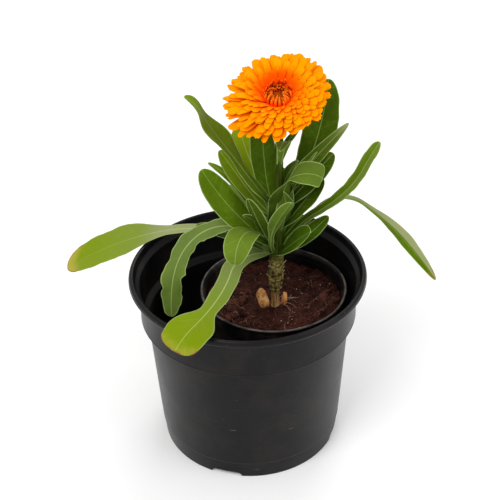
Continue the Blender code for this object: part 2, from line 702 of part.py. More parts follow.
def build():
    remove_everything()
    plastic = principled("black_plastic", (0.022, 0.021, 0.022), 0.45)
    earth = principled("soil", (0.055, 0.022, 0.014), 0.95)
    bark = principled("bark", (0.52, 0.26, 0.08), 0.8)
    green = principled("leaf_green", (0.10, 0.20, 0.03), 0.5)
    orange = principled("petal_orange", (1.0, 0.33, 0.0), 0.6)
    brown = principled("eye_brown", (0.22, 0.04, 0.01), 0.7)
    large_pot(plastic)
    small_pot(plastic)
    soil(earth)
    bark_chip("bark_chip_left", (10.2, 1.6), (8.0, 5.0, 14.5), (-18.0, -16.0), 3, bark)
    bark_chip("bark_chip_right", (25.8, 3.4), (3.8, 3.6, 10.0), (-10.0, 4.0), 5, bark)
    leafy_stem(green)
    bloom(orange, brown)


build()
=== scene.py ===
"""The looks of a potted calendula: a double orange bloom on a leafy stem, growing in a small
black nursery pot that stands inside a larger one.

Metres, with +Z up, +X to the photo's right and -Y towards the photo's camera, as in the CAD.
Sizes in the tables are in millimetres and degrees, and MM turns them into metres.
"""

import json
import random
from math import copysign, cos, exp, hypot, pi, radians, sin, sqrt

import bpy
from mathutils import Matrix, Vector, noise

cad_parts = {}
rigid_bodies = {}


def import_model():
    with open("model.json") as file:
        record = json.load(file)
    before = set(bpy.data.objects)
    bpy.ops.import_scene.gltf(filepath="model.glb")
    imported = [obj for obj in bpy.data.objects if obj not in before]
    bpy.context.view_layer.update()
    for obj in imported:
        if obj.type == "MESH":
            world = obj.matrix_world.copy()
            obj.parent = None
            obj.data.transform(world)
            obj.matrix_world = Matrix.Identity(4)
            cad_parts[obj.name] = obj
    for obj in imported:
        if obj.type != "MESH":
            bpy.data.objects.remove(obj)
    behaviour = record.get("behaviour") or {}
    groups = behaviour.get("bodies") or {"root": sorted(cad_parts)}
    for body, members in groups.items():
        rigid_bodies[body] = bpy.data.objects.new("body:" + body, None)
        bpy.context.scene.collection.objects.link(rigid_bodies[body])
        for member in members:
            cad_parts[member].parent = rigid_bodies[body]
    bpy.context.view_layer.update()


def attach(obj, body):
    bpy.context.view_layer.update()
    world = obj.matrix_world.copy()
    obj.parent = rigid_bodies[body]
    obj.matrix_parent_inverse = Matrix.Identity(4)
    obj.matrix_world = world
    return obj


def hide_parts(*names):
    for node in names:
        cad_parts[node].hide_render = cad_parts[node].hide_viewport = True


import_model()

MM = 0.001
UP = Vector((0, 0, 1))

# Large pot: corners of its section (radius, height, rounding), from the middle of the
# underside over the lip to the middle of the floor
POT_SECTION = (
    (0, 0, 0), (58, 0, 0.2), (58.4, 0.5, 0.2), (61.4, 0.5, 0.2), (61.8, 0, 0.2),
    (64, 0, 0.5), (65, 13, 0.3), (65.6, 13.6, 0.4), (71.2, 99.3, 0.8), (75.3, 101.9, 0.5),
    (75.9, 102.4, 0.4), (75.7, 103.2, 0.3), (76.2, 127, 0.8), (78.6, 128.2, 0.8),
    (82.4, 131.4, 1.2), (82.5, 133, 0.9), (81.8, 134.9, 0.7), (81, 135.4, 0.3),
    (80.7, 135, 0.15), (80.4, 135, 0.15), (80.1, 135.4, 0.3), (79.2, 135, 0.5),
    (78.2, 130.3, 0.8), (75, 127.2, 0.8), (74.3, 103, 0.6), (70, 99.8, 0.8),
    (69.3, 88, 0.2), (69.5, 87.4, 0.2), (63.9, 4, 1), (61.6, 2, 0.8), (0, 2, 0),
)
POT_SIDES = 192
POT_CREASE = 40
POT_BASE_RADIUS = 64 * MM
# Faint scratches on the front: place, half length and half height, turn
POT_SCRATCHES = (
    ((-12.3, -66.3, 47), (3.2, 0.35), 20),
    ((27.7, -61.1, 42.8), (2.6, 0.3), -35),
    ((3.6, -64.9, 7), (2.4, 0.3), 10),
)
NOTCH_COUNT = 4
NOTCH_ANGLE = 20
NOTCH_TURN = -106.6
NOTCH_HEIGHT = 3.6 * MM
NOTCH_DEPTH = 7 * MM
NOTCH_STEPS = 24

# Small pot: the same, round its own centre
CUP_CENTRE = Vector((18.1 * MM, 8.9 * MM, 0))
CUP_SECTION = (
    (0, 2.3, 0), (37, 2.3, 0.6), (47, 98.5, 0.6), (49.3, 100.7, 0.4), (49.6, 101.3, 0.3),
    (49.9, 110.3, 0.3), (51.4, 111.2, 0.4), (52, 111.9, 0.3), (52, 112.8, 0.4),
    (51.3, 113.5, 0.3), (50.5, 113.3, 0.3), (49.2, 111.6, 0.4), (48.6, 110.2, 0.3),
    (48.4, 107.6, 0.1), (48.6, 107.3, 0.1), (48.4, 107, 0.1), (48.2, 101, 0.4),
    (45.8, 98.5, 0.4), (35.8, 4.1, 0.8), (0, 4.1, 0),
)
CUP_SIDES = 160

# Soil: its body in metres, and in millimetres how rough it is, how far it is calm round the
# stem, and how far out crumbs and fibres lie
SOIL_TOP = 103 * MM
SOIL_RADIUS = 47.9 * MM
SOIL_FLOOR = 4.4 * MM
SOIL_RINGS = 84
SOIL_ROUGH = 1.3
SOIL_CALM_RADIUS = 15
CRUMB_REACH = 47
FIBRE_REACH = 46
# Loose heaps on the soil: x, y, radius, how many crumbs
SOIL_HEAPS = (
    (-9, 6, 11, 260), (-10, -12, 13, 300), (56, 6, 8, 200),
    (8, -22, 16, 160), (40, -16, 14, 150), (44, 26, 16, 110),
)
# Larger clods in each of the first three heaps
CLODS = 8
# Roots beside the stem: turn, length, thickness, how far they drift
ROOTS = (
    (34, 15, 0.32, -10), (12, 17, 0.26, 16), (-4, 13, 0.3, -20), (52, 10, 0.22, 10),
    (-24, 12, 0.24, -30), (150, 10, 0.2, 20), (205, 8, 0.22, -14),
)

# Bark chips: rows and sides of their faces
CHIP_ROWS = 46
CHIP_SIDES = 64

# Stem: where it enters the soil and how much room it has there, then its centre line
# (x, y, z) and radius, from the buried end to the green cup
STEM_FOOT = Vector((19, 2, 0))
STEM_CLEAR = 4.6
STEM_ROUTE = (
    (19, 2, 66, 3), (19, 2, 88, 3.1), (19, 2, 103, 3.1),
    (19.1, 2, 108, 2.9), (19.1, 2, 115, 3), (19.2, 2, 116.2, 4),
    (19.3, 2, 124.5, 4.4), (19.4, 2, 125.8, 5.1), (19.5, 2, 130.8, 5.3),
    (19.5, 2, 131.8, 4.6), (19.6, 2, 136, 4.7), (20.1, 2, 141, 5), (20.7, 2.2, 160, 4.7),
    (21.5, 2.5, 185, 3.6), (22.2, 3, 212, 2.7), (22.6, 3.4, 236, 2.5),
    (22.8, 3.2, 250, 2.6),
)
# Corky collars on the stem: height, half of their thickness and how far they stand out
STEM_COLLARS = ((128.3, 2.4, 0.3), (122, 0.9, 0.6), (118.2, 0.9, 0.4))
# Rings of dried scales: height, count, length, width. Then the longer ones: height, turn,
# length, width, climb and how green
SCALE_RINGS = (
    (116.4, 5, 2.2, 3.4), (120.4, 6, 2.6, 3.8), (125.4, 6, 4.8, 4.8), (131.5, 6, 6, 5),
    (136.5, 5, 6.5, 5),
)
LONG_SCALES = (
    (131.3, -28, 12.5, 5.4, 56, 0.8), (125.7, 196, 5.6, 4, 46, 0.4),
    (119.8, -18, 3.4, 3, 42, 0.3), (128.8, -4, 4.2, 3.2, 44, 0.5),
)

# Bloom: where the head sits, how far it nods towards -Y and leans towards -X, how much longer
# its rays are on the -X side and from the near left to the far right, and the near right
# where they are shorter: its direction, its spread and how much
HEAD_BASE = Vector((22.2 * MM, 2.4 * MM, 259.5 * MM))
HEAD_NOD = 27
HEAD_LEAN = 4
RAY_BIAS = 0.045
RAY_SKEW = 0.075
DENT_TURN = 290
DENT_SPREAD = 36
DENT_DEPTH = 0.12

# Leaves. Each starts with its height, length, width, climb and turn, in this order.
# height: where the leaf leaves the stem, above the soil. climb: its angle above level, from
# root to tip. turn: the way it points, 0 is +X and 90 is +Y. roll: how far the blade turns
# about its midrib. cup: how far the edges stand up. base, neck, peak: share of the full
# width at the root, where the blade starts to widen and where it is widest. waist: a narrow
# place and how narrow. tip: 1 is a sharp tip, 4 a blunt one. wave, waves: how far the
# edges wave and how often. ragged: how uneven the margin is.
# lime, pale, dark: how yellow, how grey, and how much painted shade darkens the green, from root to
# tip.
# dead: how much of the tip has withered. rib: how strong the midrib shows, from root to tip.
# half: how grey the blade is on its one side (above 0) or the other (below 0), from split on.
LEAF_DEFAULTS = dict(
    roll=(0, 0), cup=12, base=0.22, neck=0, peak=0.62, waist=(0.5, 0), tip=2, wave=0, waves=2.5,
    lime=(0.1, 0.1), pale=(0.1, 0.1), dark=(0, 0), dead=0, rib=(0.8, 0.8), ragged=0.035,
    half=0, split=0)


def leaf(height, length, width, climb, turn, **own):
    """One leaf of the table, with the usual values where it has none of its own."""
    return dict(LEAF_DEFAULTS, height=height, length=length, width=width, climb=climb, turn=turn, **own)


LEAVES = {
    "left_long": leaf(39, 176, 29, (26, -1, -18, -28, -32), (146, 165, 173), roll=(0, -10, -22, -16),
        cup=6, peak=0.72, base=0.32, neck=0.47, tip=4.6, dead=0.7, half=0.35,
        lime=(0.2, 0.15, 0.45, 0.75, 0.9), pale=(2, 2, 2, 1.9, 0.9, 0.3, 0), rib=(2, 1.9, 1, 0.4, 0.3)),
    "left_hanging": leaf(48, 121, 14.5, (33, 20, -31, -62, -75), (157, 203, 274), roll=(-10, -20, -10),
        cup=8, peak=0.6, base=0.5, tip=5, wave=2.4, waves=4, dark=(0.1, 0.1), lime=(0.1, 0, 0.1),
        pale=(1, 1.3, 1.2, 1.1), ragged=0.3, rib=(1.2, 1.2)),
    "front_over_rim": leaf(43, 120, 33, (18, -6, -6, -4, -4, -8, -42),
        (186, 204, 258, 250, 242, 232, 228), roll=(0, -8, 5), cup=5, peak=0.86, base=0.42, neck=0.67,
        waist=(0.69, 0.15), tip=6, dark=(0.3, 0.25, 0.15, 0, 0), dead=0.4,
        lime=(0.2, 0.3, 0.4, 0.75, 0.85), pale=(1.3, 1.4, 1.2, 0.2, 0), rib=(1.4, 1.4)),
    "front_nodding": leaf(47.4, 64, 21, (62, 30, -85), (203, 258), cup=6, peak=0.66, base=0.3, neck=0.3,
        tip=2.2, lime=(0.2, 0.3), pale=(0.3, 0.6, 0.6)),
    "left_oval": leaf(46.8, 80, 20.5, (47, 50, 55), (199, 150), roll=(-20, -50), cup=0, peak=0.56,
        base=0.35, tip=2.4, lime=(0.05, 0.2, 0.25), rib=(0.5, 0.5)),
    "left_wavy": leaf(74, 108, 19, (58, 58, 58, 58, 57, 58, 66, 28), (184, 182, 180),
        roll=(-10, -20, 0), cup=8, peak=0.72, base=0.35, waist=(0.81, 0.08), tip=3, wave=2, waves=2,
        lime=(0.1, 0.2, 0.4, 0.6), pale=(0.4, 0.3, 0.2, 0.1)),
    "left_inner": leaf(70, 62, 14, (38, 52, 50), (164, 150), roll=(-20, -40), peak=0.6, base=0.4,
        lime=(0.2, 0.5, 0.6), pale=(0.3, 0.1)),
    "left_narrow": leaf(62, 67, 7, (35, 58, 25), (162, 165), roll=(-20, -30), peak=0.6, base=0.5,
        lime=(0.1, 0.5), pale=(0.3, 0.1)),
    "left_upright": leaf(84, 60, 23, (32, 44, 56), (142, 108), roll=(-20, -50), peak=0.6,
        lime=(0.5, 0.9)),
    "centre_tall": leaf(70, 80, 18, (66, 84, 88), (147, 120), roll=(-40, -60), base=0.4,
        dark=(0.2, 0.3), rib=(0.6, 0.6)),
    "front_curled": leaf(105, 40, 10, (78, 78, 70, -75), (320, 300, 225), peak=0.74, base=0.5,
        dark=(0.3, 0), pale=(0.1, 0.2, 0.9, 0.9)),
    "right_bract": leaf(121, 23, 5, (55, 52, 50), (5, 15), roll=(20, 50), peak=0.5, base=0.5, tip=1.3,
        pale=(0.1, 0.3)),
    "right_tall": leaf(74, 100, 23, (34, 50, 76), (42, 68), roll=(10, 40), cup=8, peak=0.68, base=0.3,
        dark=(0.7, 0.3, 0.1), lime=(0, 0.1, 0.1)),
    "right_slim": leaf(80, 74, 11, (62, 44, 42), (17, 18), roll=(20, 60), peak=0.45, base=0.5, tip=1.2,
        dark=(0.4, 0.1), pale=(0, 0, 0.1, 0.6, 2)),
    "right_sliver": leaf(76, 56, 6, (65, 62, 60), (345, 345), roll=(20, 20), peak=0.5, base=0.5,
        lime=(0.1, 0.3), pale=(0.2, 0.7)),
    "right_folded": leaf(58, 77, 17, (76, 76, 80, 70, 16, -45), (300, 300, 280, 320, 352, 375),
        roll=(0, 0, 0, 0, 30, 50), cup=8, peak=0.9, base=1.15, neck=0, waist=(0.68, 0.72), tip=5,
        dark=(0.6, 0.5, 0), pale=(0, 0.1, 0.4, 0.8, 0.7)),
    "right_small": leaf(74, 42, 12, (85, 70, 45), (50, 10), peak=0.6, base=0.5, dark=(0.6, 0.2)),
    "right_round": leaf(74, 57, 17, (52, 48, 44), (5, 18), roll=(20, 40), base=0.4, dark=(0.6, 0.4),
        lime=(0, 0.1)),
    "right_long": leaf(45, 106, 9, (55, 51, 33, 42, 62, 54), (8, 0, 0, 10, 18, 20), roll=(20, 35),
        cup=18, peak=0.8, base=0.7, tip=4, half=-1, lime=(0.1, 0.2, 0.3, 0.3),
        pale=(0, 0, 0.1, 0.2, 0.3), ragged=0.12),
    "right_hanging": leaf(43, 155, 12, (12, 54, -38, -46, -46), (44, -3, -35), roll=(0, 20, 40), cup=25,
        peak=0.76, base=0.4, neck=0.5, tip=1.1, dead=0.35, half=2, lime=(0.1, 0.1, 0.2, 0.3),
        pale=(1, 1.6, 1.6, 0.4, 0, 0), rib=(0.6, 0.3), split=0.12),
    "right_low_front": leaf(41, 48, 20, (48, 48, 44), (306, 318), roll=(30, 40), peak=0.6, base=0.4,
        dark=(0.5, 0.3), lime=(0, 0.1), rib=(0.5, 0.5)),
    "right_low_back": leaf(41, 46, 11.5, (26, 38, 48), (10, 10), roll=(20, 45), peak=0.6, base=0.4,
        dark=(0.4, 0.2), lime=(0, 0.1)),
    "front_spoon": leaf(43, 60, 13, (40, 75, 64, 55), (230, 272, 332, 345), roll=(0, -20, -50),
        peak=0.72, base=0.3, neck=0.4, tip=2.5, pale=(0.2, 0.5, 0.6)),
    "front_pointed": leaf(56, 45, 14, (62, 78, 75), (310, 310, 215), peak=0.52, base=0.4, tip=1.4,
        pale=(0.3, 0.4)),
    "right_middle": leaf(60, 52, 20, (52, 56, 50), (-9, 9), roll=(10, 30), peak=0.6, base=0.4,
        dark=(0.9, 0.6)),
    "front_upright": leaf(47, 62, 12, (52, 64, 66), (231, 229), roll=(0, 20), peak=0.6, base=0.4,
        tip=1.6, dark=(0.9, 0.7)),
    "front_low": leaf(48.5, 47, 9, (68, 38), (216, 218), roll=(10, 45), peak=0.65, base=0.4, tip=1.8,
        dark=(0.9, 0.7)),
    "left_low": leaf(38, 62, 13, (46, 14, 8), (162, 172), roll=(-10, -20), peak=0.55, base=0.4,
        dark=(0.7, 0.5)),
    "back_left": leaf(50, 75, 20, (50, 40, 20), (100, 105), peak=0.6, base=0.35, lime=(0.1, 0.3)),
    "back_right": leaf(46, 70, 20, (45, 35, 10), (58, 50), peak=0.6, base=0.35, lime=(0, 0.2)),
    "back_low": leaf(40, 80, 20, (35, 20, -10), (120, 128), peak=0.6, base=0.35, lime=(0.2, 0.4),
        pale=(0.2, 0.1)),
    "back_upper": leaf(62, 44, 15, (60, 50, 40), (85, 80), peak=0.6, base=0.35, dark=(0.3, 0.1)),
}
# Steps along a leaf, and the places across half of it
LEAF_ROWS = 60
LEAF_COLUMNS = (0, 0.035, 0.08, 0.14, 0.22, 0.33, 0.45, 0.57, 0.69, 0.79, 0.87, 0.93, 0.97, 1)

# Rings of rays from the outermost in: count, length, width, root height in the head, climb at
# the root and at the tip, and the root's distance from the head's axis. The innermost ones
# are narrow and curled.
RAY_RINGS = (
    dict(count=29, length=28.2, width=7.2, root=3, climb=(14, 2), inset=6.5),
    dict(count=29, length=26.8, width=6.8, root=3.8, climb=(24, 3), inset=6.4),
    dict(count=28, length=24.6, width=6.4, root=4.5, climb=(30, 4), inset=6.5),
    dict(count=25, length=22.2, width=6, root=5.1, climb=(36, 6), inset=6.7),
    dict(count=24, length=19.6, width=5.7, root=5.7, climb=(42, 8), inset=6.9),
    dict(count=22, length=16.8, width=5.4, root=6.2, climb=(48, 10), inset=7.2),
    dict(count=20, length=13.8, width=5, root=6.7, climb=(56, 14), inset=7.5),
    dict(count=17, length=10.8, width=4.4, root=7.1, climb=(66, 24), inset=7.8),
    dict(count=21, length=8.4, width=2, root=7.2, climb=(72, 122), inset=8.5, curl=1),
    dict(count=19, length=6.8, width=1.5, root=7, climb=(80, 136), inset=7.4, curl=1.4),
)
RAY_ROWS = 15
RAY_COLUMNS = (-1, -0.86, -0.62, -0.34, 0, 0.34, 0.62, 0.86, 1)
RAY_LEAN = 8
# A ray's width from root to tip, as a share, where the tip is pointed and where it is round
RAY_POINTED = (0.4, 0.72, 0.93, 1, 0.9, 0.6)
RAY_ROUND = (0.4, 0.66, 0.84, 0.95, 1, 0.94)
# Sections (radius, height, rounding) in the head: the rays' bed and the green cup
BED_SECTION = (
    (0, 0.4, 0), (4, 0.6, 0.5), (8, 2.2, 0.8), (9, 4.2, 1), (8.8, 7.2, 0.8),
    (7.6, 8, 0.6), (6.6, 7.4, 0.3), (6.5, 6.4, 0.1), (0, 6.4, 0),
)
CALYX_SECTION = (
    (0, -9, 0), (2.6, -9, 0.6), (3.6, -5.5, 1.2), (7.2, -1.2, 1.5), (9.4, 1.6, 0.5),
    (8.4, 1.9, 0.3), (4.2, 0.1, 0.5), (0, 0, 0),
)
BRACTS = 15

# The eye: its height in the head, and the mound of buds above it
EYE_FLOOR = 6.8
EYE_SECTION = (
    (0, -0.3, 0), (6.6, -0.3, 0.2), (6.6, 1.5, 0.4), (4.4, 1.5, 0.5), (2.4, 2.4, 0.8),
    (0, 2.7, 0),
)
# Rings of florets: count, distance from the axis, height, thickness, how far in the tip
# bends, and how light they are
FLORET_RINGS = (
    dict(count=20, reach=6.3, height=4.8, thick=0.64, bend=2.2, tone=1),
    dict(count=17, reach=5.3, height=3.9, thick=0.46, bend=1.7, tone=0.75),
    dict(count=15, reach=4.4, height=3, thick=0.42, bend=0.9, tone=0.25),
    dict(count=13, reach=3.5, height=2.8, thick=0.42, bend=0.3, tone=0.1),
    dict(count=12, reach=2.5, height=3.2, thick=0.45, bend=0.2, tone=0.3),
    dict(count=8, reach=1.5, height=3.5, thick=0.48, bend=0.1, tone=0.3),
    dict(count=4, reach=0.6, height=3.7, thick=0.48, bend=0, tone=0.3),
)

# The photo's camera: its place, how far it looks down, its roll and its lens
CAMERA_PLACE = Vector((2.04 * MM, -625.73 * MM, 569.26 * MM))
CAMERA_DIP = 33.76
CAMERA_ROLL = 1.254
CAMERA_LENS = 79.2

# Half of the floor's side, in metres
FLOOR_HALF = 4


def srgb(red, green, blue):
    """A screen colour from 0 to 255 as the linear colour that a shader takes."""
    linear = []
    for value in (red, green, blue):
        share = value / 255
        linear.append(share / 12.92 if share <= 0.04045 else ((share + 0.055) / 1.055) ** 2.4)
    return (*linear, 1)


def smoothstep(low, high, value):
    share = min(1, max(0, (value - low) / (high - low)))
    return share * share * (3 - 2 * share)


def spread(values, share):
    """Reads a value between the given ones, which lie evenly from root to tip."""
    place = share * (len(values) - 1)
    index = min(int(place), len(values) - 2)
    return values[index] + (values[index + 1] - values[index]) * (place - index)


def heading(climb, turn):
    """The direction that climbs above level and turns away from +X, in degrees."""
    climb = radians(climb)
    turn = radians(turn)
    return Vector((cos(climb) * cos(turn), cos(climb) * sin(turn), sin(climb)))


def level(turn):
    return heading(0, turn)


def turning(angle, axis):
    """The matrix that turns a vector by an angle in degrees."""
    return Matrix.Rotation(radians(angle), 3, axis)


class Look:
    """One material, with short names for the nodes that make it. A colour is three screen
    values from 0 to 255, or a list of four linear ones."""

    def __init__(self, name, colour, roughness=0.5, specular=0.5):
        self.material = bpy.data.materials.new(name)
        self.material.use_nodes = True
        self.tree = self.material.node_tree
        self.shader = self.tree.nodes["Principled BSDF"]
        self.colour = colour
        self.set("Base Color", colour)
        self.set("Roughness", roughness)
        self.set("Specular IOR Level", specular)

    def plug(self, socket, value):
        if isinstance(value, bpy.types.NodeSocket):
            self.tree.links.new(value, socket)
        else:
            socket.default_value = srgb(*value) if isinstance(value, tuple) else value

    def set(self, name, value):
        self.plug(self.shader.inputs[name], value)

    def node(self, kind, inputs, **settings):
        """A new node, with what goes into its sockets by name or number."""
        made = self.tree.nodes.new("ShaderNode" + kind)
        for name, value in settings.items():
            setattr(made, name, value)
        for name, value in dict(inputs).items():
            self.plug(made.inputs[name], value)
        return made

    def value(self, name):
        """A named value of the mesh's points."""
        return self.node("Attribute", {}, attribute_name=name).outputs["Fac"]

    def place(self, stretch=(1, 1, 1)):
        """The point in metres, with each axis stretched."""
        here = self.node("TexCoord", {}).outputs["Object"]
        return self.node("Mapping", dict(Vector=here, Scale=Vector(stretch))).outputs["Vector"]

    def axis(self, name):
        return self.node("SeparateXYZ", dict(Vector=self.place())).outputs[name]

    def noise(self, scale, detail=3, roughness=0.5, stretch=(1, 1, 1), warp=0):
        inputs = dict(Vector=self.place(stretch), Scale=scale, Detail=detail, Roughness=roughness)
        return self.node("TexNoise", dict(inputs, Distortion=warp)).outputs["Fac"]

    def cells(self, scale):
        return self.node("TexVoronoi", dict(Vector=self.place(), Scale=scale)).outputs["Distance"]

    def spot(self, place, size, turn):
        """1 at a place on the front, falling to 0 at the edge of a turned oval (mm)."""
        moved = self.node("VectorMath", {0: self.place(), 1: Vector(place) * MM}, operation="SUBTRACT")
        rotation = Vector((0, radians(turn), 0))
        scale = Vector((1 / size[0], 0.1, 1 / size[1])) / MM
        oval = self.node("Mapping", dict(Vector=moved.outputs[0], Rotation=rotation, Scale=scale))
        length = self.node("VectorMath", {0: oval.outputs[0]}, operation="LENGTH")
        return self.band(length.outputs["Value"], 0.4, 1, 1, 0)

    def math(self, operation, *values):
        return self.node("Math", enumerate(values), operation=operation).outputs[0]

    def times(self, value, *others):
        for other in others:
            value = self.math("MULTIPLY", value, other)
        return value

    def stirred(self, value, cloud, size):
        """The value, moved up and down by a noise."""
        return self.math("ADD", value, self.math("MULTIPLY_ADD", cloud, size, -size / 2))

    def band(self, value, low, high, start=0, end=1):
        """Goes softly from start to end as the value goes from low to high."""
        inputs = enumerate((value, low, high, start, end))
        return self.node("MapRange", inputs, interpolation_type="SMOOTHSTEP").outputs[0]

    def mix(self, share, first, second):
        return self.node("Mix", {0: share, 6: first, 7: second}, data_type="RGBA").outputs[2]

    def coat(self, share, colour):
        """Lays a colour over those so far, by a share."""
        self.colour = self.mix(share, self.colour, colour)
        self.set("Base Color", self.colour)

    def bump(self, *layers):
        """Stacks bumps of (height, distance in metres, strength)."""
        below = {}
        for height, distance, strength in layers:
            made = self.node("Bump", dict(below, Height=height, Distance=distance, Strength=strength))
            below = dict(Normal=made.outputs["Normal"])
        self.set("Normal", below["Normal"])


def speckled_look(name, first, second, mottle, grain, roughness, specular):
    """One colour with patches of another, and a fine grain. mottle: scale, then a band. grain:
    scale and depth."""
    look = Look(name, first, roughness, specular)
    look.coat(look.band(look.noise(mottle[0]), *mottle[1:]), second)
    look.bump((look.noise(grain[0]), grain[1], 0.5))
    return look


class Shape:
    """The points and faces of one piece, with named values at each point."""

    def __init__(self, *names):
        self.points = []
        self.faces = []
        self.values = {name: [] for name in names}

    def point(self, place, **values):
        self.points.append(Vector(place))
        for name, column in self.values.items():
            column.append(float(values.get(name, 0)))
        return len(self.points) - 1

    def skin(self, rings, capped=False):
        """Faces between closed rings, one after the other. A ring may be a single point."""
        for low, high in zip(rings, rings[1:]):
            for side in range(max(len(low), len(high))):
                after = side + 1
                corners = (low[side % len(low)], low[after % len(low)],
                           high[after % len(high)], high[side % len(high)])
                self.faces.append(tuple(dict.fromkeys(corners)))
        if capped:
            self.faces.append(tuple(reversed(rings[0])))
            self.faces.append(tuple(rings[-1]))

    def blade(self, rows):
        """A closed thin blade from rows of (place, normal, half of the thickness, values)."""
        tops = []
        unders = []
        for row in rows:
            tops.append([self.point(p + n * h, **v, under=0) for p, n, h, v in row])
            unders.append([self.point(p - n * h, **v, under=1) for p, n, h, v in row])
        last = len(rows[0]) - 1
        for r in range(len(rows) - 1):
            top, next_top, under, next_under = tops[r], tops[r + 1], unders[r], unders[r + 1]
            for c in range(last):
                self.faces.append((top[c], next_top[c], next_top[c + 1], top[c + 1]))
                self.faces.append((under[c], under[c + 1], next_under[c + 1], next_under[c]))
            self.faces.append((top[0], under[0], next_under[0], next_top[0]))
            self.faces.append((top[last], next_top[last], next_under[last], under[last]))
        for c in range(last):
            self.faces.append((tops[0][c], tops[0][c + 1], unders[0][c + 1], unders[0][c]))
            self.faces.append((tops[-1][c], unders[-1][c], unders[-1][c + 1], tops[-1][c + 1]))

    def tube(self, route, sides, values, swell=None):
        """A closed round body along a route of (place, radius). values(share) gives the named
        values, and swell(share, angle) adds to the radius."""
        last = len(route) - 1
        across = None
        rings = []
        for index, (place, radius) in enumerate(route):
            along = (route[min(last, index + 1)][0] - route[max(0, index - 1)][0]).normalized()
            if across is None:
                across = along.orthogonal().normalized()
            across = (across - along * across.dot(along)).normalized()
            other = along.cross(across)
            share = index / last
            named = values(share)
            ring = []
            for side in range(sides):
                angle = 2 * pi * side / sides
                reach = radius + (swell(share, angle) if swell else 0)
                offset = (across * cos(angle) + other * sin(angle)) * reach
                ring.append(self.point(place + offset, **named))
            rings.append(ring)
        self.skin(rings, capped=True)

    def lathe(self, section, sides, centre=Vector((0, 0, 0)), shape=None):
        """A closed body turned about the upright axis, from a section that starts and ends
        on the axis. shape(place) moves a point."""
        rings = []
        for radius, height in section:
            ring = []
            for side in range(1 if radius == 0 else sides):
                angle = 2 * pi * side / sides
                place = centre + Vector((radius * cos(angle), radius * sin(angle), height))
                ring.append(self.point(shape(place) if shape else place))
            rings.append(ring)
        self.skin(rings)

    def lump(self, centre, size, spin, seed, tone):
        """A small worn lump, cut from a ball."""
        start = len(self.points)
        for corner in LUMP_CORNERS:
            worn = 1 + 0.5 * noise.noise(corner * 1.7 + Vector((seed, 0, 0)))
            place = Vector(tuple(corner[k] * size[k] * worn for k in range(3)))
            self.point(centre + spin @ place, tone=tone)
        for face in LUMP_FACES:
            self.faces.append(tuple(start + corner for corner in face))

    def made(self, name, look, slot, node, angle=None):
        """The finished object, riding on the part in place of its node."""
        mesh = bpy.data.meshes.new(name)
        mesh.from_pydata(self.points, [], self.faces)
        for key, column in self.values.items():
            layer = mesh.attributes.new(key, "FLOAT", "POINT")
            layer.data.foreach_set("value", column)
        mesh.materials.append(look.material)
        mesh.shade_smooth()
        if angle is not None:
            mesh.set_sharp_from_angle(angle=radians(angle))
        item = bpy.data.objects.new(name, mesh)
        bpy.context.scene.collection.objects.link(item)
        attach(item, "root")
        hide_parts(node)
        return item


def lump_ball():
    """The corners and faces of a ball of triangles, one step finer than an icosahedron."""
    golden = (1 + sqrt(5)) / 2
    corners = [Vector(c).normalized() for c in (
        (-1, golden, 0), (1, golden, 0), (-1, -golden, 0), (1, -golden, 0),
        (0, -1, golden), (0, 1, golden), (0, -1, -golden), (0, 1, -golden),
        (golden, 0, -1), (golden, 0, 1), (-golden, 0, -1), (-golden, 0, 1))]
    faces = [(0, 11, 5), (0, 5, 1), (0, 1, 7), (0, 7, 10), (0, 10, 11), (1, 5, 9), (5, 11, 4),
             (11, 10, 2), (10, 7, 6), (7, 1, 8), (3, 9, 4), (3, 4, 2), (3, 2, 6), (3, 6, 8),
             (3, 8, 9), (4, 9, 5), (2, 4, 11), (6, 2, 10), (8, 6, 7), (9, 8, 1)]
    middles = {}

    def middle(first, second):
        key = (min(first, second), max(first, second))
        if key not in middles:
            corners.append(((corners[first] + corners[second]) / 2).normalized())
            middles[key] = len(corners) - 1
        return middles[key]

    finer = []
    for a, b, c in faces:
        ab, bc, ca = middle(a, b), middle(b, c), middle(c, a)
        finer += [(a, ab, ca), (b, bc, ab), (c, ca, bc), (ab, bc, ca)]
    return corners, finer


LUMP_CORNERS, LUMP_FACES = lump_ball()


def rounded(section, steps=4):
    """Rounds each corner of a section of (radius, height, rounding) in mm. Gives metres."""
    points = []
    for index, (radius, height, rounding) in enumerate(section):
        corner = Vector((radius, height))
        if rounding == 0:
            points.append(corner)
            continue
        before = Vector(section[index - 1][:2]) - corner
        after = Vector(section[index + 1][:2]) - corner
        start = corner + before.normalized() * min(rounding, before.length * 0.45)
        end = corner + after.normalized() * min(rounding, after.length * 0.45)
        for step in range(steps + 1):
            share = step / steps
            points.append(start.lerp(corner, share).lerp(corner.lerp(end, share), share))
    return [(point.x * MM, point.y * MM) for point in points]


def stem_at(height):
    """The stem's centre and radius at a height in millimetres, smooth between the points."""
    route = STEM_ROUTE
    for index in range(len(route) - 1):
        low, high = route[index], route[index + 1]
        if height <= high[2] or index == len(route) - 2:
            share = min(1, max(0, (height - low[2]) / (high[2] - low[2])))
            centre = Vector(low[:3]).lerp(Vector(high[:3]), share)
            radius = low[3] + (high[3] - low[3]) * smoothstep(0, 1, share)
            return centre * MM, radius * MM


def half_width(leaf, share):
    """Half the blade's width at a share of its length, in millimetres."""
    width = leaf["width"] / 2
    place, depth = leaf["waist"]
    width *= 1 - depth * exp(-((share - place) / 0.08) ** 2)
    if share < leaf["peak"]:
        rise = max(0, (share - leaf["neck"]) / (leaf["peak"] - leaf["neck"]))
        return width * (leaf["base"] + (1 - leaf["base"]) * sin(pi / 2 * rise) ** 2)
    run = (share - leaf["peak"]) / (1 - leaf["peak"])
    return width * sqrt(max(0, 1 - run ** leaf["tip"]))


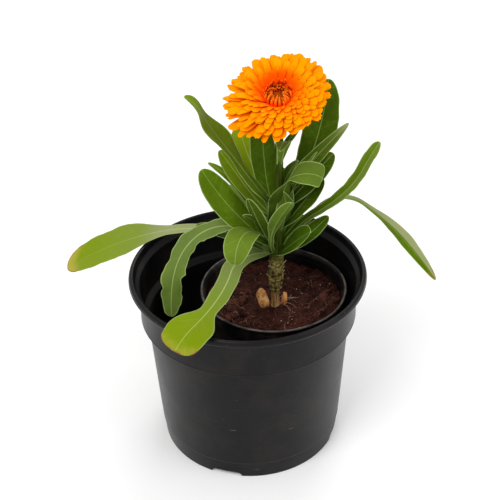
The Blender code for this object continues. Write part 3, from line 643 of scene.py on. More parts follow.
def leaf_route(leaf, shares):
    """The midrib's point, with its side and its normal, at each rising share."""
    point = stem_at(SOIL_TOP / MM + leaf["height"])[0]
    done = 0
    for share in shares:
        while done < share - 1e-9:
            step = min(0.005, share - done)
            inside = done + step / 2
            ahead = heading(spread(leaf["climb"], inside), spread(leaf["turn"], inside))
            point = point + ahead * leaf["length"] * step * MM
            done += step
        turn = spread(leaf["turn"], share)
        along = heading(spread(leaf["climb"], share), turn)
        side = level(turn + 90)
        roll = turning(spread(leaf["roll"], share), along)
        yield share, point.copy(), roll @ side, roll @ along.cross(side)


def leaf_piece(name, number, look):
    """One leaf: a thin cupped blade with a sunken midrib, a wavy margin and a root that
    clasps the stem."""
    leaf = LEAVES[name]
    length = leaf["length"]
    columns = [-u for u in reversed(LEAF_COLUMNS[1:])] + list(LEAF_COLUMNS)
    shares = [1 - (1 - row / LEAF_ROWS) ** 1.5 for row in range(LEAF_ROWS + 1)]
    seed = number * 7.31
    rows = []
    for share, point, side, normal in leaf_route(leaf, shares):
        wide = max(half_width(leaf, share), 0.12)
        clasp = exp(-(share * length / 9) ** 2)
        cup = radians(leaf["cup"] + 40 * clasp)
        fade = min(1, 4 * share) * min(1, max(0.2, 5 * (1 - share)))
        swing = 2 * pi * leaf["waves"] * share
        rib_wide = 0.55 + 1.1 * (1 - share) ** 1.5
        rib_tall = 0.25 + 0.75 * (1 - share)
        row = []
        for u in columns:
            edge = abs(u)
            across = u * wide
            lift = wide * sin(cup) * edge ** 1.3
            wave = leaf["wave"] * fade * sin(swing + (0.9 if u > 0 else 0)) * edge ** 1.5
            flutter = noise.noise(Vector((share * length / 13, seed, 3 if u > 0 else 0)))
            lift += wave + 1.1 * fade * flutter * edge ** 2.5 * min(1, wide / 8)
            vein = (share * length - 0.85 * edge * wide) / 6.5
            puff = sin(pi * vein) ** 2 * edge * (1 - edge) * 0.9
            groove = exp(-(across / rib_wide) ** 2)
            lift += 0.22 * puff - 0.4 * rib_tall * groove
            edge_of = Vector((share * length / 7, seed + 9, copysign(2, u)))
            sway = 1 + leaf["ragged"] * (noise.noise(edge_of) + 0.6 * noise.noise(edge_of * 2.3))
            thick = 0.15 + 0.12 * (1 - edge) + 0.45 * rib_tall * groove
            thick *= min(1, 0.45 + wide / 4) * (1 - 0.55 * edge ** 8)
            place = point + side * across * sway * cos(cup) * MM + normal * lift * MM
            rim = min(wide * (1 - edge), (1 - share) * length)
            values = {name: spread(leaf[name], share) for name in ("lime", "pale", "dark", "rib")}
            beyond = smoothstep(leaf["split"], leaf["split"] + 0.12, copysign(u, u * leaf["half"]))
            values["pale"] = max(values["pale"], abs(leaf["half"]) * beyond)
            values["dead"] = leaf["dead"] * smoothstep(0.895, 1, share + 0.03 * edge)
            values.update(along=share, across=across, rim=rim, vein=vein)
            row.append((place, normal, thick * MM, values))
        rows.append(row)
    shape = Shape("along", "across", "rim", "vein", "under", "lime", "pale", "dark", "rib", "dead")
    shape.blade(rows)
    return shape.made("leaf_" + name, look, "leaf_green", "leafy_stem")


def leaf_look():
    """A soft green leaf: lime to green faces with painted shade deep in the clump, a paler underside,
    light veins, and a pale margin from its hairs with a painted sheen.
    """
    look = Look("leaf", (34, 64, 0), specular=0.03)
    dark, lime, pale, rim = (look.value(name) for name in ("dark", "lime", "pale", "rim"))
    cloud = look.noise(55, 3, 0.6)
    mottle = look.noise(420, 4, 0.6)
    look.coat(look.band(cloud, 0.34, 0.68), (60, 96, 0))
    # Painted shade: leaves and leaf roots deep in the clump are painted a darker green.
    look.coat(dark, (18, 38, 0))
    look.coat(lime, (124, 144, 0))
    under = look.times(look.value("under"), look.math("MULTIPLY_ADD", dark, -0.8, 0.85))
    under = look.math("MINIMUM", look.math("MAXIMUM", pale, under), 1)
    look.coat(under, look.mix(lime, (86, 110, 40), (136, 152, 56)))
    look.coat(look.band(pale, 1, 2), (146, 149, 106))
    speck = look.times(look.band(mottle, 0.35, 0.7), look.math("MULTIPLY_ADD", dark, -0.25, 0.28))
    look.coat(speck, look.mix(0.5, look.colour, (112, 142, 30)))
    edge = look.stirred(look.math("PINGPONG", look.value("vein"), 0.5), look.noise(260), 0.25)
    veins = look.times(look.band(edge, 0, 0.12, 1, 0), look.band(cloud, 0.4, 0.7, 0, 0.12))
    look.coat(veins, (150, 176, 96))
    slim = look.math("MULTIPLY_ADD", look.value("along"), -0.55, 0.85)
    reach = look.math("DIVIDE", look.math("ABSOLUTE", look.value("across")), slim)
    look.coat(look.times(look.band(reach, 0.3, 0.95, 1, 0), look.value("rib"), 0.55), (166, 188, 110))
    # Pale margin: the hairy edge, with a painted sheen where the edge catches the light.
    look.coat(look.band(rim, 0.35, 0.75, 0.9, 0), (146, 168, 98))
    dead = look.stirred(look.value("dead"), cloud, 0.5)
    look.coat(look.band(dead, 0.15, 0.8, 0, 0.7), (184, 164, 74))
    burnt = look.times(look.band(dead, 0.2, 0.4), look.band(rim, 0.4, 1.5, 1, 0))
    look.coat(look.times(burnt, look.band(look.noise(300), 0.35, 0.5, 0.2, 0.9)), (138, 88, 50))
    look.set("Roughness", look.band(mottle, 0.3, 0.7, 0.42, 0.58))
    look.bump((look.times(veins, -1), 0.0004, 0.6), (look.noise(700, 4, 0.65), 0.0003, 0.35),
              (look.cells(2600), 0.00006, 0.5))
    return look


def leaves():
    look = leaf_look()
    for number, name in enumerate(LEAVES):
        leaf_piece(name, number, look)


def stem():
    """The ribbed stem, with its corky collar at the soil and the scars of old leaves."""
    bottom = STEM_ROUTE[0][2]
    top = STEM_ROUTE[-1][2]
    neck = head_frame() @ Vector((0, 0, -6 * MM))
    count = int((top - bottom) / 0.9)
    route = [stem_at(bottom + (top - bottom) * index / count) for index in range(count + 1)]
    start = route[-1][0]
    route += [(start.lerp(neck, step / 6), 2.6 * MM) for step in range(1, 7)]

    def height_at(share):
        return route[round(share * (len(route) - 1))][0].z / MM

    def swell(share, angle):
        height = height_at(share)
        ribs = 0.14 * cos(9 * angle + height * 0.012) * smoothstep(130, 150, height)
        around = Vector((cos(angle), sin(angle), 0))
        cork = noise.noise(around * 2.4 + UP * height * 0.05) * 0.45
        cork += noise.noise(around * 6 + UP * height * 0.12) * 0.3
        cork *= 0.7 * (1 - smoothstep(125, 131, height))
        knots = noise.noise(around * 1.9 + UP * height * 0.55) * 0.9
        knots *= smoothstep(115.5, 119, height) * (1 - smoothstep(137, 144, height))
        flare = 0.5 * (1 - smoothstep(103, 106, height)) * (1 + noise.noise(around * 3))
        tilted = height + 0.9 * noise.noise(around * 1.3 + Vector((0, 5, 0)))
        for centre, half, size in STEM_COLLARS:
            off = abs(tilted - centre)
            ragged = 1 + 0.5 * noise.noise(around * 2.2)
            flare += size * (1 - smoothstep(half * 0.6, half + 0.5, off)) * ragged
            flare -= 0.6 * exp(-((off - half - 0.6) / 0.4) ** 2)
        return (ribs + cork + knots + flare) * MM

    # How much painted shade falls in the groove just beside each collar.
    def groove_shade(share):
        height = height_at(share)
        near = [abs(abs(height - centre) - half - 0.5) for centre, half, _ in STEM_COLLARS]
        return dict(groove_shade=exp(-(min(near) / 0.55) ** 2))

    shape = Shape("groove_shade")
    shape.tube(route, 72, groove_shade, swell)
    shape.made("stem", stem_look(), "leaf_green", "leafy_stem")


def stem_look():
    """Tan cork at the soil with painted shade in the grooves beside its collars, olive-brown at the old
    scars, and green above them.
    """
    look = Look("stem", (100, 72, 38), roughness=0.65, specular=0.08)
    height = look.stirred(look.axis("Z"), look.noise(180), 0.009)
    strands = look.noise(900, 4, 0.65, (1, 1, 0.07))
    look.coat(look.band(strands, 0.35, 0.65), (188, 148, 98))
    scar = look.mix(look.band(look.noise(420, 4, 0.7), 0.38, 0.62), (54, 42, 14), (162, 144, 82))
    look.coat(look.band(height, 0.1143, 0.1172), scar)
    gaps = look.band(look.noise(420, 3, 0.6, (0.18, 0.18, 1), 0.6), 0.34, 0.46, 0.8, 0)
    look.coat(look.times(gaps, look.band(height, 0.114, 0.117)), (36, 24, 8))
    # Painted shade: a dark ring in the groove beside each collar.
    ring = look.times(look.value("groove_shade"), look.band(look.noise(350), 0.3, 0.5, 0.65, 1))
    look.coat(ring, (30, 17, 5))
    fibrous = look.band(strands, 0.3, 0.7)
    look.coat(look.band(height, 0.138, 0.150), look.mix(fibrous, (44, 58, 6), (76, 92, 22)))
    look.coat(look.band(height, 0.215, 0.255), look.mix(fibrous, (58, 84, 10), (92, 120, 32)))
    look.bump((strands, 0.0005, 0.5), (look.noise(1500), 0.0002, 0.3))
    return look


def scales():
    """Dried leaf bases that stand round the stem above its collar."""
    rng = random.Random(11)
    shape = Shape("along", "across", "under", "tone")
    for height, count, length, width in SCALE_RINGS:
        for number in range(count):
            turn = 360 * (number + rng.uniform(-0.25, 0.25)) / count + height * 31
            dried_scale(shape, height + rng.uniform(-0.8, 0.8), turn, length * rng.uniform(0.7, 1.3),
                        width * rng.uniform(0.8, 1.2), rng.uniform(50, 78), rng.random())
    for scale in LONG_SCALES:
        dried_scale(shape, *scale)
    look = Look("scale", (84, 70, 30), roughness=0.75, specular=0.08)
    strands = look.noise(800, 4, 0.6, (1, 1, 0.2))
    look.coat(look.band(strands, 0.35, 0.65), (150, 134, 76))
    look.coat(look.times(look.value("tone"), 0.5), (104, 108, 44))
    look.coat(look.band(look.value("along"), 0.55, 0.98, 0, 0.8), (192, 184, 150))
    look.coat(look.band(look.math("ABSOLUTE", look.value("across")), 0.6, 1, 0, 0.5), (186, 168, 116))
    look.bump((strands, 0.0004, 0.5))
    shape.made("leaf_base_scales", look, "leaf_green", "leafy_stem")


def dried_scale(shape, height, turn, length, width, climb, tone):
    """One pointed scale that hugs the stem and then stands away from it."""
    centre, radius = stem_at(height)
    side = level(turn + 90)
    point = centre + level(turn) * (radius - 0.5 * MM)
    rows = []
    steps = 8
    for step in range(steps + 1):
        share = step / steps
        along = heading(86 - (86 - climb) * share, turn)
        normal = along.cross(side)
        ragged = 1 + 0.12 * noise.noise(Vector((turn, share * 4, 0)))
        half = width / 2 * (1 - share ** 1.7) * ragged + 0.12
        row = []
        for u in (-1, -0.7, -0.35, 0, 0.35, 0.7, 1):
            wrap = 0.5 * half * u * u * (1 - 0.5 * share)
            place = point + side * half * u * MM + normal * wrap * MM
            values = dict(along=share, across=u, tone=tone)
            row.append((place, normal, (0.22 - 0.1 * abs(u)) * MM, values))
        rows.append(row)
        point = point + along * length / steps * MM
    shape.blade(rows)


def head_frame():
    """The head's own frame: origin on the stem's end, Z along the head's axis."""
    nod = turning(HEAD_NOD, "X")
    lean = turning(-HEAD_LEAN, "Y")
    return Matrix.Translation(HEAD_BASE) @ (lean @ nod).to_4x4()


def place_in_head(shape):
    place = head_frame()
    for index, point in enumerate(shape.points):
        shape.points[index] = place @ point


def ray_route(ring, turn, tilt, length, droop, twist, swerve):
    """Places along a ray's middle, each with its direction, side and normal."""
    point = level(turn) * ring["inset"] * MM + UP * ring["root"] * MM
    steps = 40
    route = []
    for step in range(steps + 1):
        share = step / steps
        climb = spread(ring["climb"], share) + tilt - droop * smoothstep(0.55, 1, share)
        bend = turn + swerve * share ** 2
        along = heading(climb, bend)
        side = turning(RAY_LEAN + twist * share, along) @ level(bend + 90)
        route.append((point, along, side, along.cross(side)))
        point = point + along * length / steps * MM
    return route


def ray_reach(turn):
    """How long a ray is for the way it points, as a share of its ring's length."""
    away = (turn - DENT_TURN + 180) % 360 - 180
    share = 1 - RAY_BIAS * cos(radians(turn))
    share += RAY_SKEW * cos(radians(2 * turn - 90))
    return share - DENT_DEPTH * exp(-(away / DENT_SPREAD) ** 2)


def ray(shape, ring, number, rng):
    """One ray: a narrow strap with shallow channels and a rounded or lobed tip."""
    curl = ring.get("curl", 0)
    turn = 360 * (number + 0.5 * (RAY_RINGS.index(ring) % 2)) / ring["count"] + rng.uniform(-4, 4)
    tilt = rng.uniform(-2.6, 2.6) * (1 + 2 * curl)
    uneven = 0.04 if RAY_RINGS.index(ring) < 2 else 0.12
    length = ring["length"] * rng.uniform(1 - uneven, 1 + uneven) * ray_reach(turn)
    width = ring["width"] * rng.uniform(0.86, 1.1)
    pointed = rng.random() < (0.65 if 140 < turn < 225 else 0.25)
    droop = 0 if curl else rng.uniform(-6, 9)
    twist = rng.uniform(-12, 12) * (1 + 2 * curl)
    route = ray_route(ring, turn, tilt, length, droop, twist, rng.uniform(-8, 8))
    arch = rng.uniform(-0.02, 0.09)
    lobe = rng.choice((0, 0.008, 0.02, 0.035)) * (0 if curl else 1)
    skew = rng.uniform(-0.03, 0.03)
    tint = rng.random()
    rows = []
    for step in range(RAY_ROWS + 1):
        share = 1 - (1 - step / RAY_ROWS) ** 1.35
        wide = spread(RAY_POINTED if pointed else RAY_ROUND, share)
        if curl:
            wide = 0.8 + 0.3 * sin(pi * share) - 0.35 * share ** 3
        half = width / 2 * wide
        row = []
        for u in RAY_COLUMNS:
            lobes = cos(3 * pi * u)
            cap = width / 2 / length * (1 - sqrt(max(0, 1 - abs(u) ** 2.2)))
            reach = share * (1 - cap + skew * u - lobe * (0.5 - 0.5 * lobes))
            place = min(reach, 1) * (len(route) - 1)
            index = min(int(place), len(route) - 2)
            point, _, side, normal = (
                here.lerp(after, place - index) for here, after in zip(route[index], route[index + 1]))
            lift = 0.35 * half * u * u if curl else -arch * width * u * u * (0.3 + 0.7 * share)
            lift += 0.07 * lobes * share * min(1, half / 2)
            point = point + side * half * u * MM + normal * lift * MM
            thick = (0.15 + 0.08 * (1 - abs(u))) * (1 - 0.4 * share)
            # Painted shade and warm bounce light round the eye, stronger on the far side.
            eye_shade = 1 - smoothstep(12, 22, hypot(point.x, point.y) / MM)
            eye_shade *= 0.7 + 0.3 * sin(radians(turn))
            values = dict(along=share, across=u, tint=tint, eye_shade=eye_shade, slender=min(1, curl))
            row.append((point, normal, thick * MM, values))
        rows.append(row)
    shape.blade(rows)


def bloom():
    """Every ray, on a domed bed, with the rays of each ring set to fill the one below."""
    rng = random.Random(7)
    shape = Shape("along", "across", "under", "tint", "eye_shade", "slender")
    for ring in RAY_RINGS:
        for number in range(ring["count"]):
            ray(shape, ring, number, rng)
    place_in_head(shape)
    shape.made("bloom_rays", ray_look(), "petal_orange", "bloom_petals")
    bed = Shape()
    bed.lathe(rounded(BED_SECTION), 64)
    place_in_head(bed)
    look = speckled_look("bloom_bed", (214, 84, 6), (120, 30, 4), (600, 0.3, 0.7, 0, 0.4),
                         (600, 0.0004), 0.7, 0.2)
    bed.made("bloom_bed", look, "petal_orange", "bloom_petals")


def ray_look():
    """Matte orange rays: deep orange-red at the root and round the eye, partly their own colour and
    partly painted shade and warm bounce light, yellow-orange at the tip, with fine nerves and painted
    shade along the edges.
    """
    look = Look("ray", (254, 92, 0), roughness=0.8, specular=0.02)
    along, across, under = (look.value(name) for name in ("along", "across", "under"))
    cloud = look.noise(150)
    # Deep orange-red at the root to orange at the tip: partly the ray's own colour, partly painted
    # shade where the ray lies under the one above.
    look.coat(look.band(look.stirred(along, cloud, 0.3), 0.36, 0.88), (255, 148, 0))
    look.coat(look.times(look.value("tint"), 0.4), (255, 168, 0))
    # Painted shade and warm bounce light in the hollow round the eye.
    look.coat(look.stirred(look.value("eye_shade"), cloud, 0.3), (255, 78, 0))
    nerve = look.band(look.math("COSINE", look.times(across, 25)), 0.4, 1)
    look.coat(look.times(nerve, 0.12), (250, 104, 0))
    # Painted shade: a deeper orange line along each ray's edges, where rays overlap.
    look.coat(look.band(look.math("ABSOLUTE", across), 0.72, 1, 0, 0.5), (254, 100, 0))
    # Undersides deeper orange: partly their own colour, partly painted shade.
    look.coat(look.times(under, 0.6), (250, 112, 0))
    # Curled rays dark maroon at the root: partly their own colour, partly painted shade in the hollow
    # of the eye.
    curl = look.mix(look.band(along, 0.1, 0.75), (122, 22, 0), (250, 104, 4))
    curl = look.mix(look.band(along, 0.8, 1), curl, (252, 156, 60))
    outside = look.mix(look.band(along, 0.5, 1), (250, 92, 0), (254, 140, 30))
    look.coat(look.value("slender"), look.mix(under, curl, outside))
    look.bump((nerve, 0.00012, 0.4), (look.noise(1300), 0.00015, 0.25))
    return look


def eye():
    """The dark middle: slender florets that bend in over a mound of dark buds."""
    rng = random.Random(23)
    shape = Shape("along", "tone")
    mound = [(radius, EYE_FLOOR + height, rounding) for radius, height, rounding in EYE_SECTION]
    shape.lathe(rounded(mound), 48)
    for index, point in enumerate(shape.points):
        shape.values["along"][index] = 0.9 * (1 - smoothstep(2, 4.5, hypot(point.x, point.y) / MM))
    for index, ring in enumerate(FLORET_RINGS):
        for number in range(ring["count"]):
            turn = 360 * (number + 0.5 * (index % 2) + rng.uniform(-0.2, 0.2)) / ring["count"]
            floret(shape, ring, turn, rng)
    place_in_head(shape)
    shape.made("bloom_eye_florets", floret_look(), "eye_brown", "bloom_eye")


def floret(shape, ring, turn, rng):
    """One tubular floret that bends in at its thicker tip, and is longer on the near side."""
    near = 0.5 - 0.5 * sin(radians(turn))
    height = ring["height"] * rng.uniform(0.78, 1.14) * (1 + 0.28 * near)
    bend = ring["bend"] * rng.uniform(0.6, 1.35) * (1 + 0.45 * near)
    out = level(turn)
    side = level(turn + 90) * rng.uniform(-0.5, 0.5)
    tone = ring["tone"] * rng.uniform(0.35, 1.2)
    route = []
    steps = 7
    for step in range(steps + 1):
        share = step / steps
        place = out * (ring["reach"] + 0.35 * sin(pi * share) - bend * share ** 2)
        place = place + side * share + UP * (EYE_FLOOR + 0.2 + height * share * (1 - 0.12 * share))
        thick = ring["thick"] * (0.62 + 0.5 * sin(pi * min(1, share * 0.85 + 0.1)))
        if step == steps:
            thick *= 0.35
        route.append((place * MM, thick * MM))
    shape.tube(route, 8, lambda share: dict(along=share, tone=tone))


def floret_look():
    """Maroon at the root, tan and then pale pinkish towards the tip."""
    look = Look("floret", (146, 34, 2), roughness=0.6, specular=0.06)
    along = look.value("along")
    look.coat(look.band(along, 0.2, 0.9), (184, 66, 4))
    bright = look.mix(look.band(along, 0.1, 0.7), (206, 66, 3), (250, 122, 10))
    bright = look.mix(look.band(along, 0.9, 1), bright, (250, 146, 56))
    look.coat(look.band(look.value("tone"), 0.1, 0.75), bright)
    look.coat(look.band(look.noise(900), 0.35, 0.7, 0, 0.3), (112, 42, 6))
    look.bump((look.noise(2200), 0.0002, 0.5))
    return look


def calyx():
    """The green cup under the bloom, with two rows of narrow pointed bracts."""
    shape = Shape("along", "across", "under", "tone")
    shape.lathe(rounded(CALYX_SECTION), 60)
    rng = random.Random(5)
    for row_of in range(2):
        for number in range(BRACTS):
            turn = 360 * (number + 0.5 * row_of + rng.uniform(-0.15, 0.15)) / BRACTS
            reach = 15.2 - 2.5 * row_of + rng.uniform(-1, 0.3)
            bract(shape, turn, reach, 0.7 * row_of, rng.random())
    place_in_head(shape)
    look = Look("bract", (58, 84, 10), roughness=0.6, specular=0.06)
    strands = look.noise(700, 3, 0.6)
    look.coat(look.band(strands, 0.35, 0.65), (92, 120, 32))
    look.coat(look.times(look.value("tone"), 0.3), (130, 150, 70))
    look.coat(look.band(look.value("along"), 0.82, 1, 0, 0.7), (120, 70, 50))
    look.coat(look.band(look.math("ABSOLUTE", look.value("across")), 0.75, 1, 0, 0.5), (160, 180, 118))
    look.bump((strands, 0.0004, 0.4))
    shape.made("calyx", look, "leaf_green", "leafy_stem")


def bract(shape, turn, reach, drop, tone):
    """One bract, which leaves the cup level and ends in a point under the rays."""
    rows = []
    for step in range(11):
        share = step / 10
        distance = 4.6 + (reach - 4.6) * share
        height = -3.9 + 5.2 * smoothstep(0, 0.75, share) - drop - 0.5 * share
        wide = 1.5 * sqrt(max(0.01, 1 - share ** 2.6)) * (0.75 + 0.3 * sin(pi * share))
        middle = level(turn) * distance
        side = level(turn + 90) * wide
        row = []
        for u in (-1, -0.75, -0.4, 0, 0.4, 0.75, 1):
            lift = 0.3 * abs(u) ** 1.5 - 0.15 * exp(-(u * 4) ** 2)
            place = (middle + side * u + UP * (height + lift)) * MM
            values = dict(along=share, across=u, tone=tone)
            row.append((place, UP, (0.3 - 0.14 * abs(u)) * MM, values))
        rows.append(row)
    shape.blade(rows)


def plastic_look(name, dust):
    """Satin black plastic with a fine moulded grain, turning lines, scuffs and some dust."""
    look = Look(name, (14, 13, 14), specular=0.14)
    cloud = look.noise(26, 4, 0.6)
    grain = look.noise(2400, 3, 0.6)
    lines = look.noise(9, 2, 0.5, (0.2, 0.2, 60))
    scuff = look.band(look.noise(60, 5, 0.7, (1, 1, 9), 1.5), 0.66, 0.74)
    haze = look.band(look.noise(38, 5, 0.65), 0.42, 0.78)
    specks = look.band(look.cells(260), 0.05, 0.13, 1, 0)
    specks = look.times(specks, look.band(look.noise(70), 0.5, 0.62))
    look.coat(look.band(cloud, 0.3, 0.7), (20, 19, 20))
    look.coat(look.times(scuff, 0.2), (96, 92, 88))
    look.coat(look.times(haze, dust), (112, 98, 86))
    look.coat(look.times(specks, 0.25 + dust), (120, 104, 90))
    rough = look.math("ADD", look.band(cloud, 0.3, 0.7, 0.29, 0.38), look.times(scuff, 0.12))
    look.set("Roughness", look.math("ADD", rough, look.times(haze, 0.3 * dust)))
    look.bump((lines, 0.0004, 0.12), (grain, 0.00008, 0.35), (scuff, 0.00004, 0.4))
    return look


def notch_block(turn):
    """A block that cuts one drain notch, with rounded upper corners."""
    shape = Shape()
    rings = []
    for step in range(NOTCH_STEPS + 1):
        share = 2 * step / NOTCH_STEPS - 1
        out = level(turn + NOTCH_ANGLE / 2 * share)
        inner = out * (POT_BASE_RADIUS - NOTCH_DEPTH)
        outer = out * (POT_BASE_RADIUS + 4 * MM)
        rise = UP * NOTCH_HEIGHT * (1 - 0.55 * abs(share) ** 7)
        places = (inner - UP * MM, inner + rise, outer + rise, outer - UP * MM)
        rings.append([shape.point(place) for place in places])
    shape.skin(rings, capped=True)
    mesh = bpy.data.meshes.new("notch")
    mesh.from_pydata(shape.points, [], shape.faces)
    return bpy.data.objects.new("notch", mesh)


def pots():
    """Both pots, and the four drain notches in the foot of the large one."""
    look = plastic_look("large_pot_plastic", 0.06)
    for place, size, turn in POT_SCRATCHES:
        look.coat(look.times(look.spot(place, size, turn), 0.5), (110, 108, 106))
    large = Shape()
    large.lathe(rounded(POT_SECTION), POT_SIDES)
    pot = large.made("large_pot", look, "black_plastic", "outer_pot")
    cutters = bpy.data.collections.new("notches")
    bpy.context.scene.collection.children.link(cutters)
    for number in range(NOTCH_COUNT):
        cutters.objects.link(notch_block(NOTCH_TURN + 360 / NOTCH_COUNT * number))
    cut = pot.modifiers.new("notches", "BOOLEAN")
    cut.operation = "DIFFERENCE"
    cut.solver = "EXACT"
    cut.operand_type = "COLLECTION"
    cut.collection = cutters
    depsgraph = bpy.context.evaluated_depsgraph_get()
    pot.data = bpy.data.meshes.new_from_object(pot.evaluated_get(depsgraph))
    pot.modifiers.clear()
    for item in list(cutters.objects):
        bpy.data.objects.remove(item, do_unlink=True)
    bpy.data.collections.remove(cutters)
    pot.data.shade_smooth()
    pot.data.set_sharp_from_angle(angle=radians(POT_CREASE))
    look = plastic_look("small_pot_plastic", 0.3)
    # A lighter line round the top of the small pot's rim: dust and wear, with a painted highlight where
    # the rim catches the light.
    rim = look.band(look.axis("Z"), 0.1127, 0.1132)
    look.coat(look.times(rim, look.band(look.noise(90), 0.35, 0.6, 0.15, 0.75)), (104, 95, 90))
    small = Shape()
    small.lathe(rounded(CUP_SECTION), CUP_SIDES, CUP_CENTRE, worn_rim)
    small.made("small_pot", look, "black_plastic", "inner_pot", POT_CREASE)


def worn_rim(place):
    """The small pot's rim, which is a little out of round."""
    share = smoothstep(0.1, 0.113, place.z)
    out = place - CUP_CENTRE
    out.z = 0
    wobble = noise.noise(out.normalized() * 1.6 + Vector((4, 0, 0)) if out.length else UP)
    return place + out.normalized() * wobble * 0.45 * MM * share


def from_stem(place):
    """How far a place on the soil is from the stem, in millimetres."""
    return hypot(place.x - STEM_FOOT.x, place.y - STEM_FOOT.y)


def soil_height(place):
    """The soil's surface: calm round the stem, and lumpy towards the pot's wall. Millimetres."""
    x, y = place.x, place.y
    calm = min(1, max(0, (from_stem(place) - SOIL_CALM_RADIUS) / 8))
    wave = sin(x * 0.41 + 1.3) * cos(y * 0.37 - 0.6)
    wave += 0.6 * sin(x * 0.83 - y * 0.71 + 2.1)
    rough = noise.fractal(Vector((x, y, 0)) * 0.16, 0.9, 2.1, 5) * 0.85
    heap = 0
    for heap_x, heap_y, radius, count in SOIL_HEAPS:
        away = hypot(x - heap_x, y - heap_y) / radius
        heap += exp(-away * away * 1.6) * min(1, count / 250)
    height = SOIL_TOP / MM + SOIL_ROUGH * 0.6 * calm * wave
    return height + rough * (0.55 + 0.9 * calm) + 1.1 * heap * calm


def soil():
    """The soil: a rough crumbly top on a body that fills the small pot."""
    section = [(0, SOIL_FLOOR), (35.4 * MM, SOIL_FLOOR), (45.5 * MM, 98.4 * MM)]
    section.append((SOIL_RADIUS, 101.6 * MM))
    section += [(SOIL_RADIUS * (1 - ring / SOIL_RINGS), SOIL_TOP) for ring in range(SOIL_RINGS)]
    section.append((0, SOIL_TOP))

    def lay(place):
        if place.z < SOIL_TOP - 0.01 * MM:
            return place
        return Vector((place.x, place.y, soil_height(place / MM) * MM))

    body = Shape()
    body.lathe(section, 220, CUP_CENTRE, lay)
    look = soil_look()
    body.made("soil_body", look, "soil", "potting_soil")
    rng = random.Random(41)
    crumbs = Shape("tone")
    for heap_x, heap_y, radius, count in SOIL_HEAPS:
        for _ in range(count):
            away = radius * abs(rng.gauss(0, 0.55))
            spot = Vector((heap_x, heap_y, 0)) + level(rng.uniform(0, 360)) * away
            crumb(crumbs, spot, rng.uniform(0.25, 0.8) * rng.uniform(0.6, 1.7), rng)
    for _ in range(900):
        spot = on_soil(46.5, rng)
        crumb(crumbs, spot, rng.uniform(0.2, 0.75) * rng.uniform(0.5, 1.5), rng)
    clods = random.Random(3)
    for heap in SOIL_HEAPS[:3]:
        for _ in range(CLODS):
            spot = in_heap(heap, clods)
            crumb(crumbs, spot, clods.uniform(1.9, 3.4), clods)
    crumbs.made("soil_crumbs", look, "soil", "potting_soil")
    litter(rng)


def on_soil(reach, rng):
    """A chance place on the soil, in millimetres."""
    away = reach * sqrt(rng.random())
    return CUP_CENTRE / MM + level(rng.uniform(0, 360)) * away


def in_heap(heap, rng):
    """A chance place in a heap, most often near its middle."""
    x, y, radius, _ = heap
    return Vector((x, y, 0)) + level(rng.uniform(0, 360)) * radius * rng.random()


def crumb(shape, spot, size, rng):
    """One crumb, half sunk in the soil."""
    out = spot - CUP_CENTRE / MM
    if out.to_2d().length > CRUMB_REACH or from_stem(spot) < STEM_CLEAR:
        return
    foot = Vector((spot.x, spot.y, soil_height(spot) + 0.15 * size)) * MM
    spin = Matrix.Rotation(rng.uniform(0, 6.28), 3, "Z")
    spin = spin @ Matrix.Rotation(rng.uniform(-0.7, 0.7), 3, "X")
    sizes = [size * rng.uniform(*limits) * MM for limits in ((0.7, 1.3), (0.6, 1), (0.5, 0.8))]
    shape.lump(foot, sizes, spin, rng.uniform(0, 90), rng.random())


def soil_look():
    """Dark red-brown potting soil with lighter crumbs and damp glints."""
    look = Look("soil", (32, 14, 11), specular=0.05)
    clumps = look.noise(120, 5, 0.65)
    fine = look.noise(900, 5, 0.7)
    look.coat(look.band(clumps, 0.35, 0.68), (62, 31, 24))
    look.coat(look.band(fine, 0.52, 0.75, 0, 0.5), (116, 72, 56))
    look.coat(look.band(fine, 0.22, 0.4, 0.6, 0), (22, 12, 10))
    look.coat(look.times(look.value("tone"), 0.3), (124, 78, 60))
    look.set("Roughness", look.band(look.noise(400), 0.35, 0.65, 0.5, 0.92))
    look.bump((clumps, 0.0016, 0.5), (fine, 0.0007, 0.8))
    return look


def litter(rng):
    """Peat fibres on the soil, pale grains, and the thin roots beside the stem."""
    fibres = Shape("tone")
    for _ in range(60):
        spot = on_soil(45, rng)
        if from_stem(spot) > 6:
            turn = rng.uniform(0, 360)
            fibre(fibres, spot, turn, rng.uniform(3, 10), rng.uniform(0.09, 0.2), 40, rng)
    for heap in SOIL_HEAPS[:3]:
        for _ in range(26):
            spot = in_heap(heap, rng)
            turn = rng.uniform(0, 360)
            fibre(fibres, spot, turn, rng.uniform(3, 9), rng.uniform(0.1, 0.24), 60, rng)
    look = Look("fibre", (76, 42, 32), roughness=0.6, specular=0.4)
    look.coat(look.value("tone"), (186, 140, 122))
    look.coat(look.band(look.noise(600), 0.4, 0.7), (98, 60, 46))
    look.bump((look.noise(1500), 0.0002, 0.5))
    fibres.made("soil_fibres", look, "soil", "potting_soil")
    roots = Shape("tone")
    for turn, length, thick, drift in ROOTS:
        fibre(roots, STEM_FOOT + level(turn) * 3.6, turn, length, thick, drift, rng, 1)
    look = speckled_look("root", (176, 122, 100), (120, 74, 56), (500, 0.35, 0.7),
                         (1500, 0.0002), 0.55, 0.4)
    roots.made("surface_roots", look, "bark", "potting_soil")
    grains = Shape("tone")
    for _ in range(60):
        spot = on_soil(45, rng)
        crumb(grains, spot, rng.uniform(0.22, 0.5), rng)
    look = speckled_look("grain", (214, 200, 184), (150, 120, 100), (300, 0.4, 0.6),
                         (2000, 0.0003), 0.35, 0.5)
    grains.made("soil_grains", look, "soil", "potting_soil")


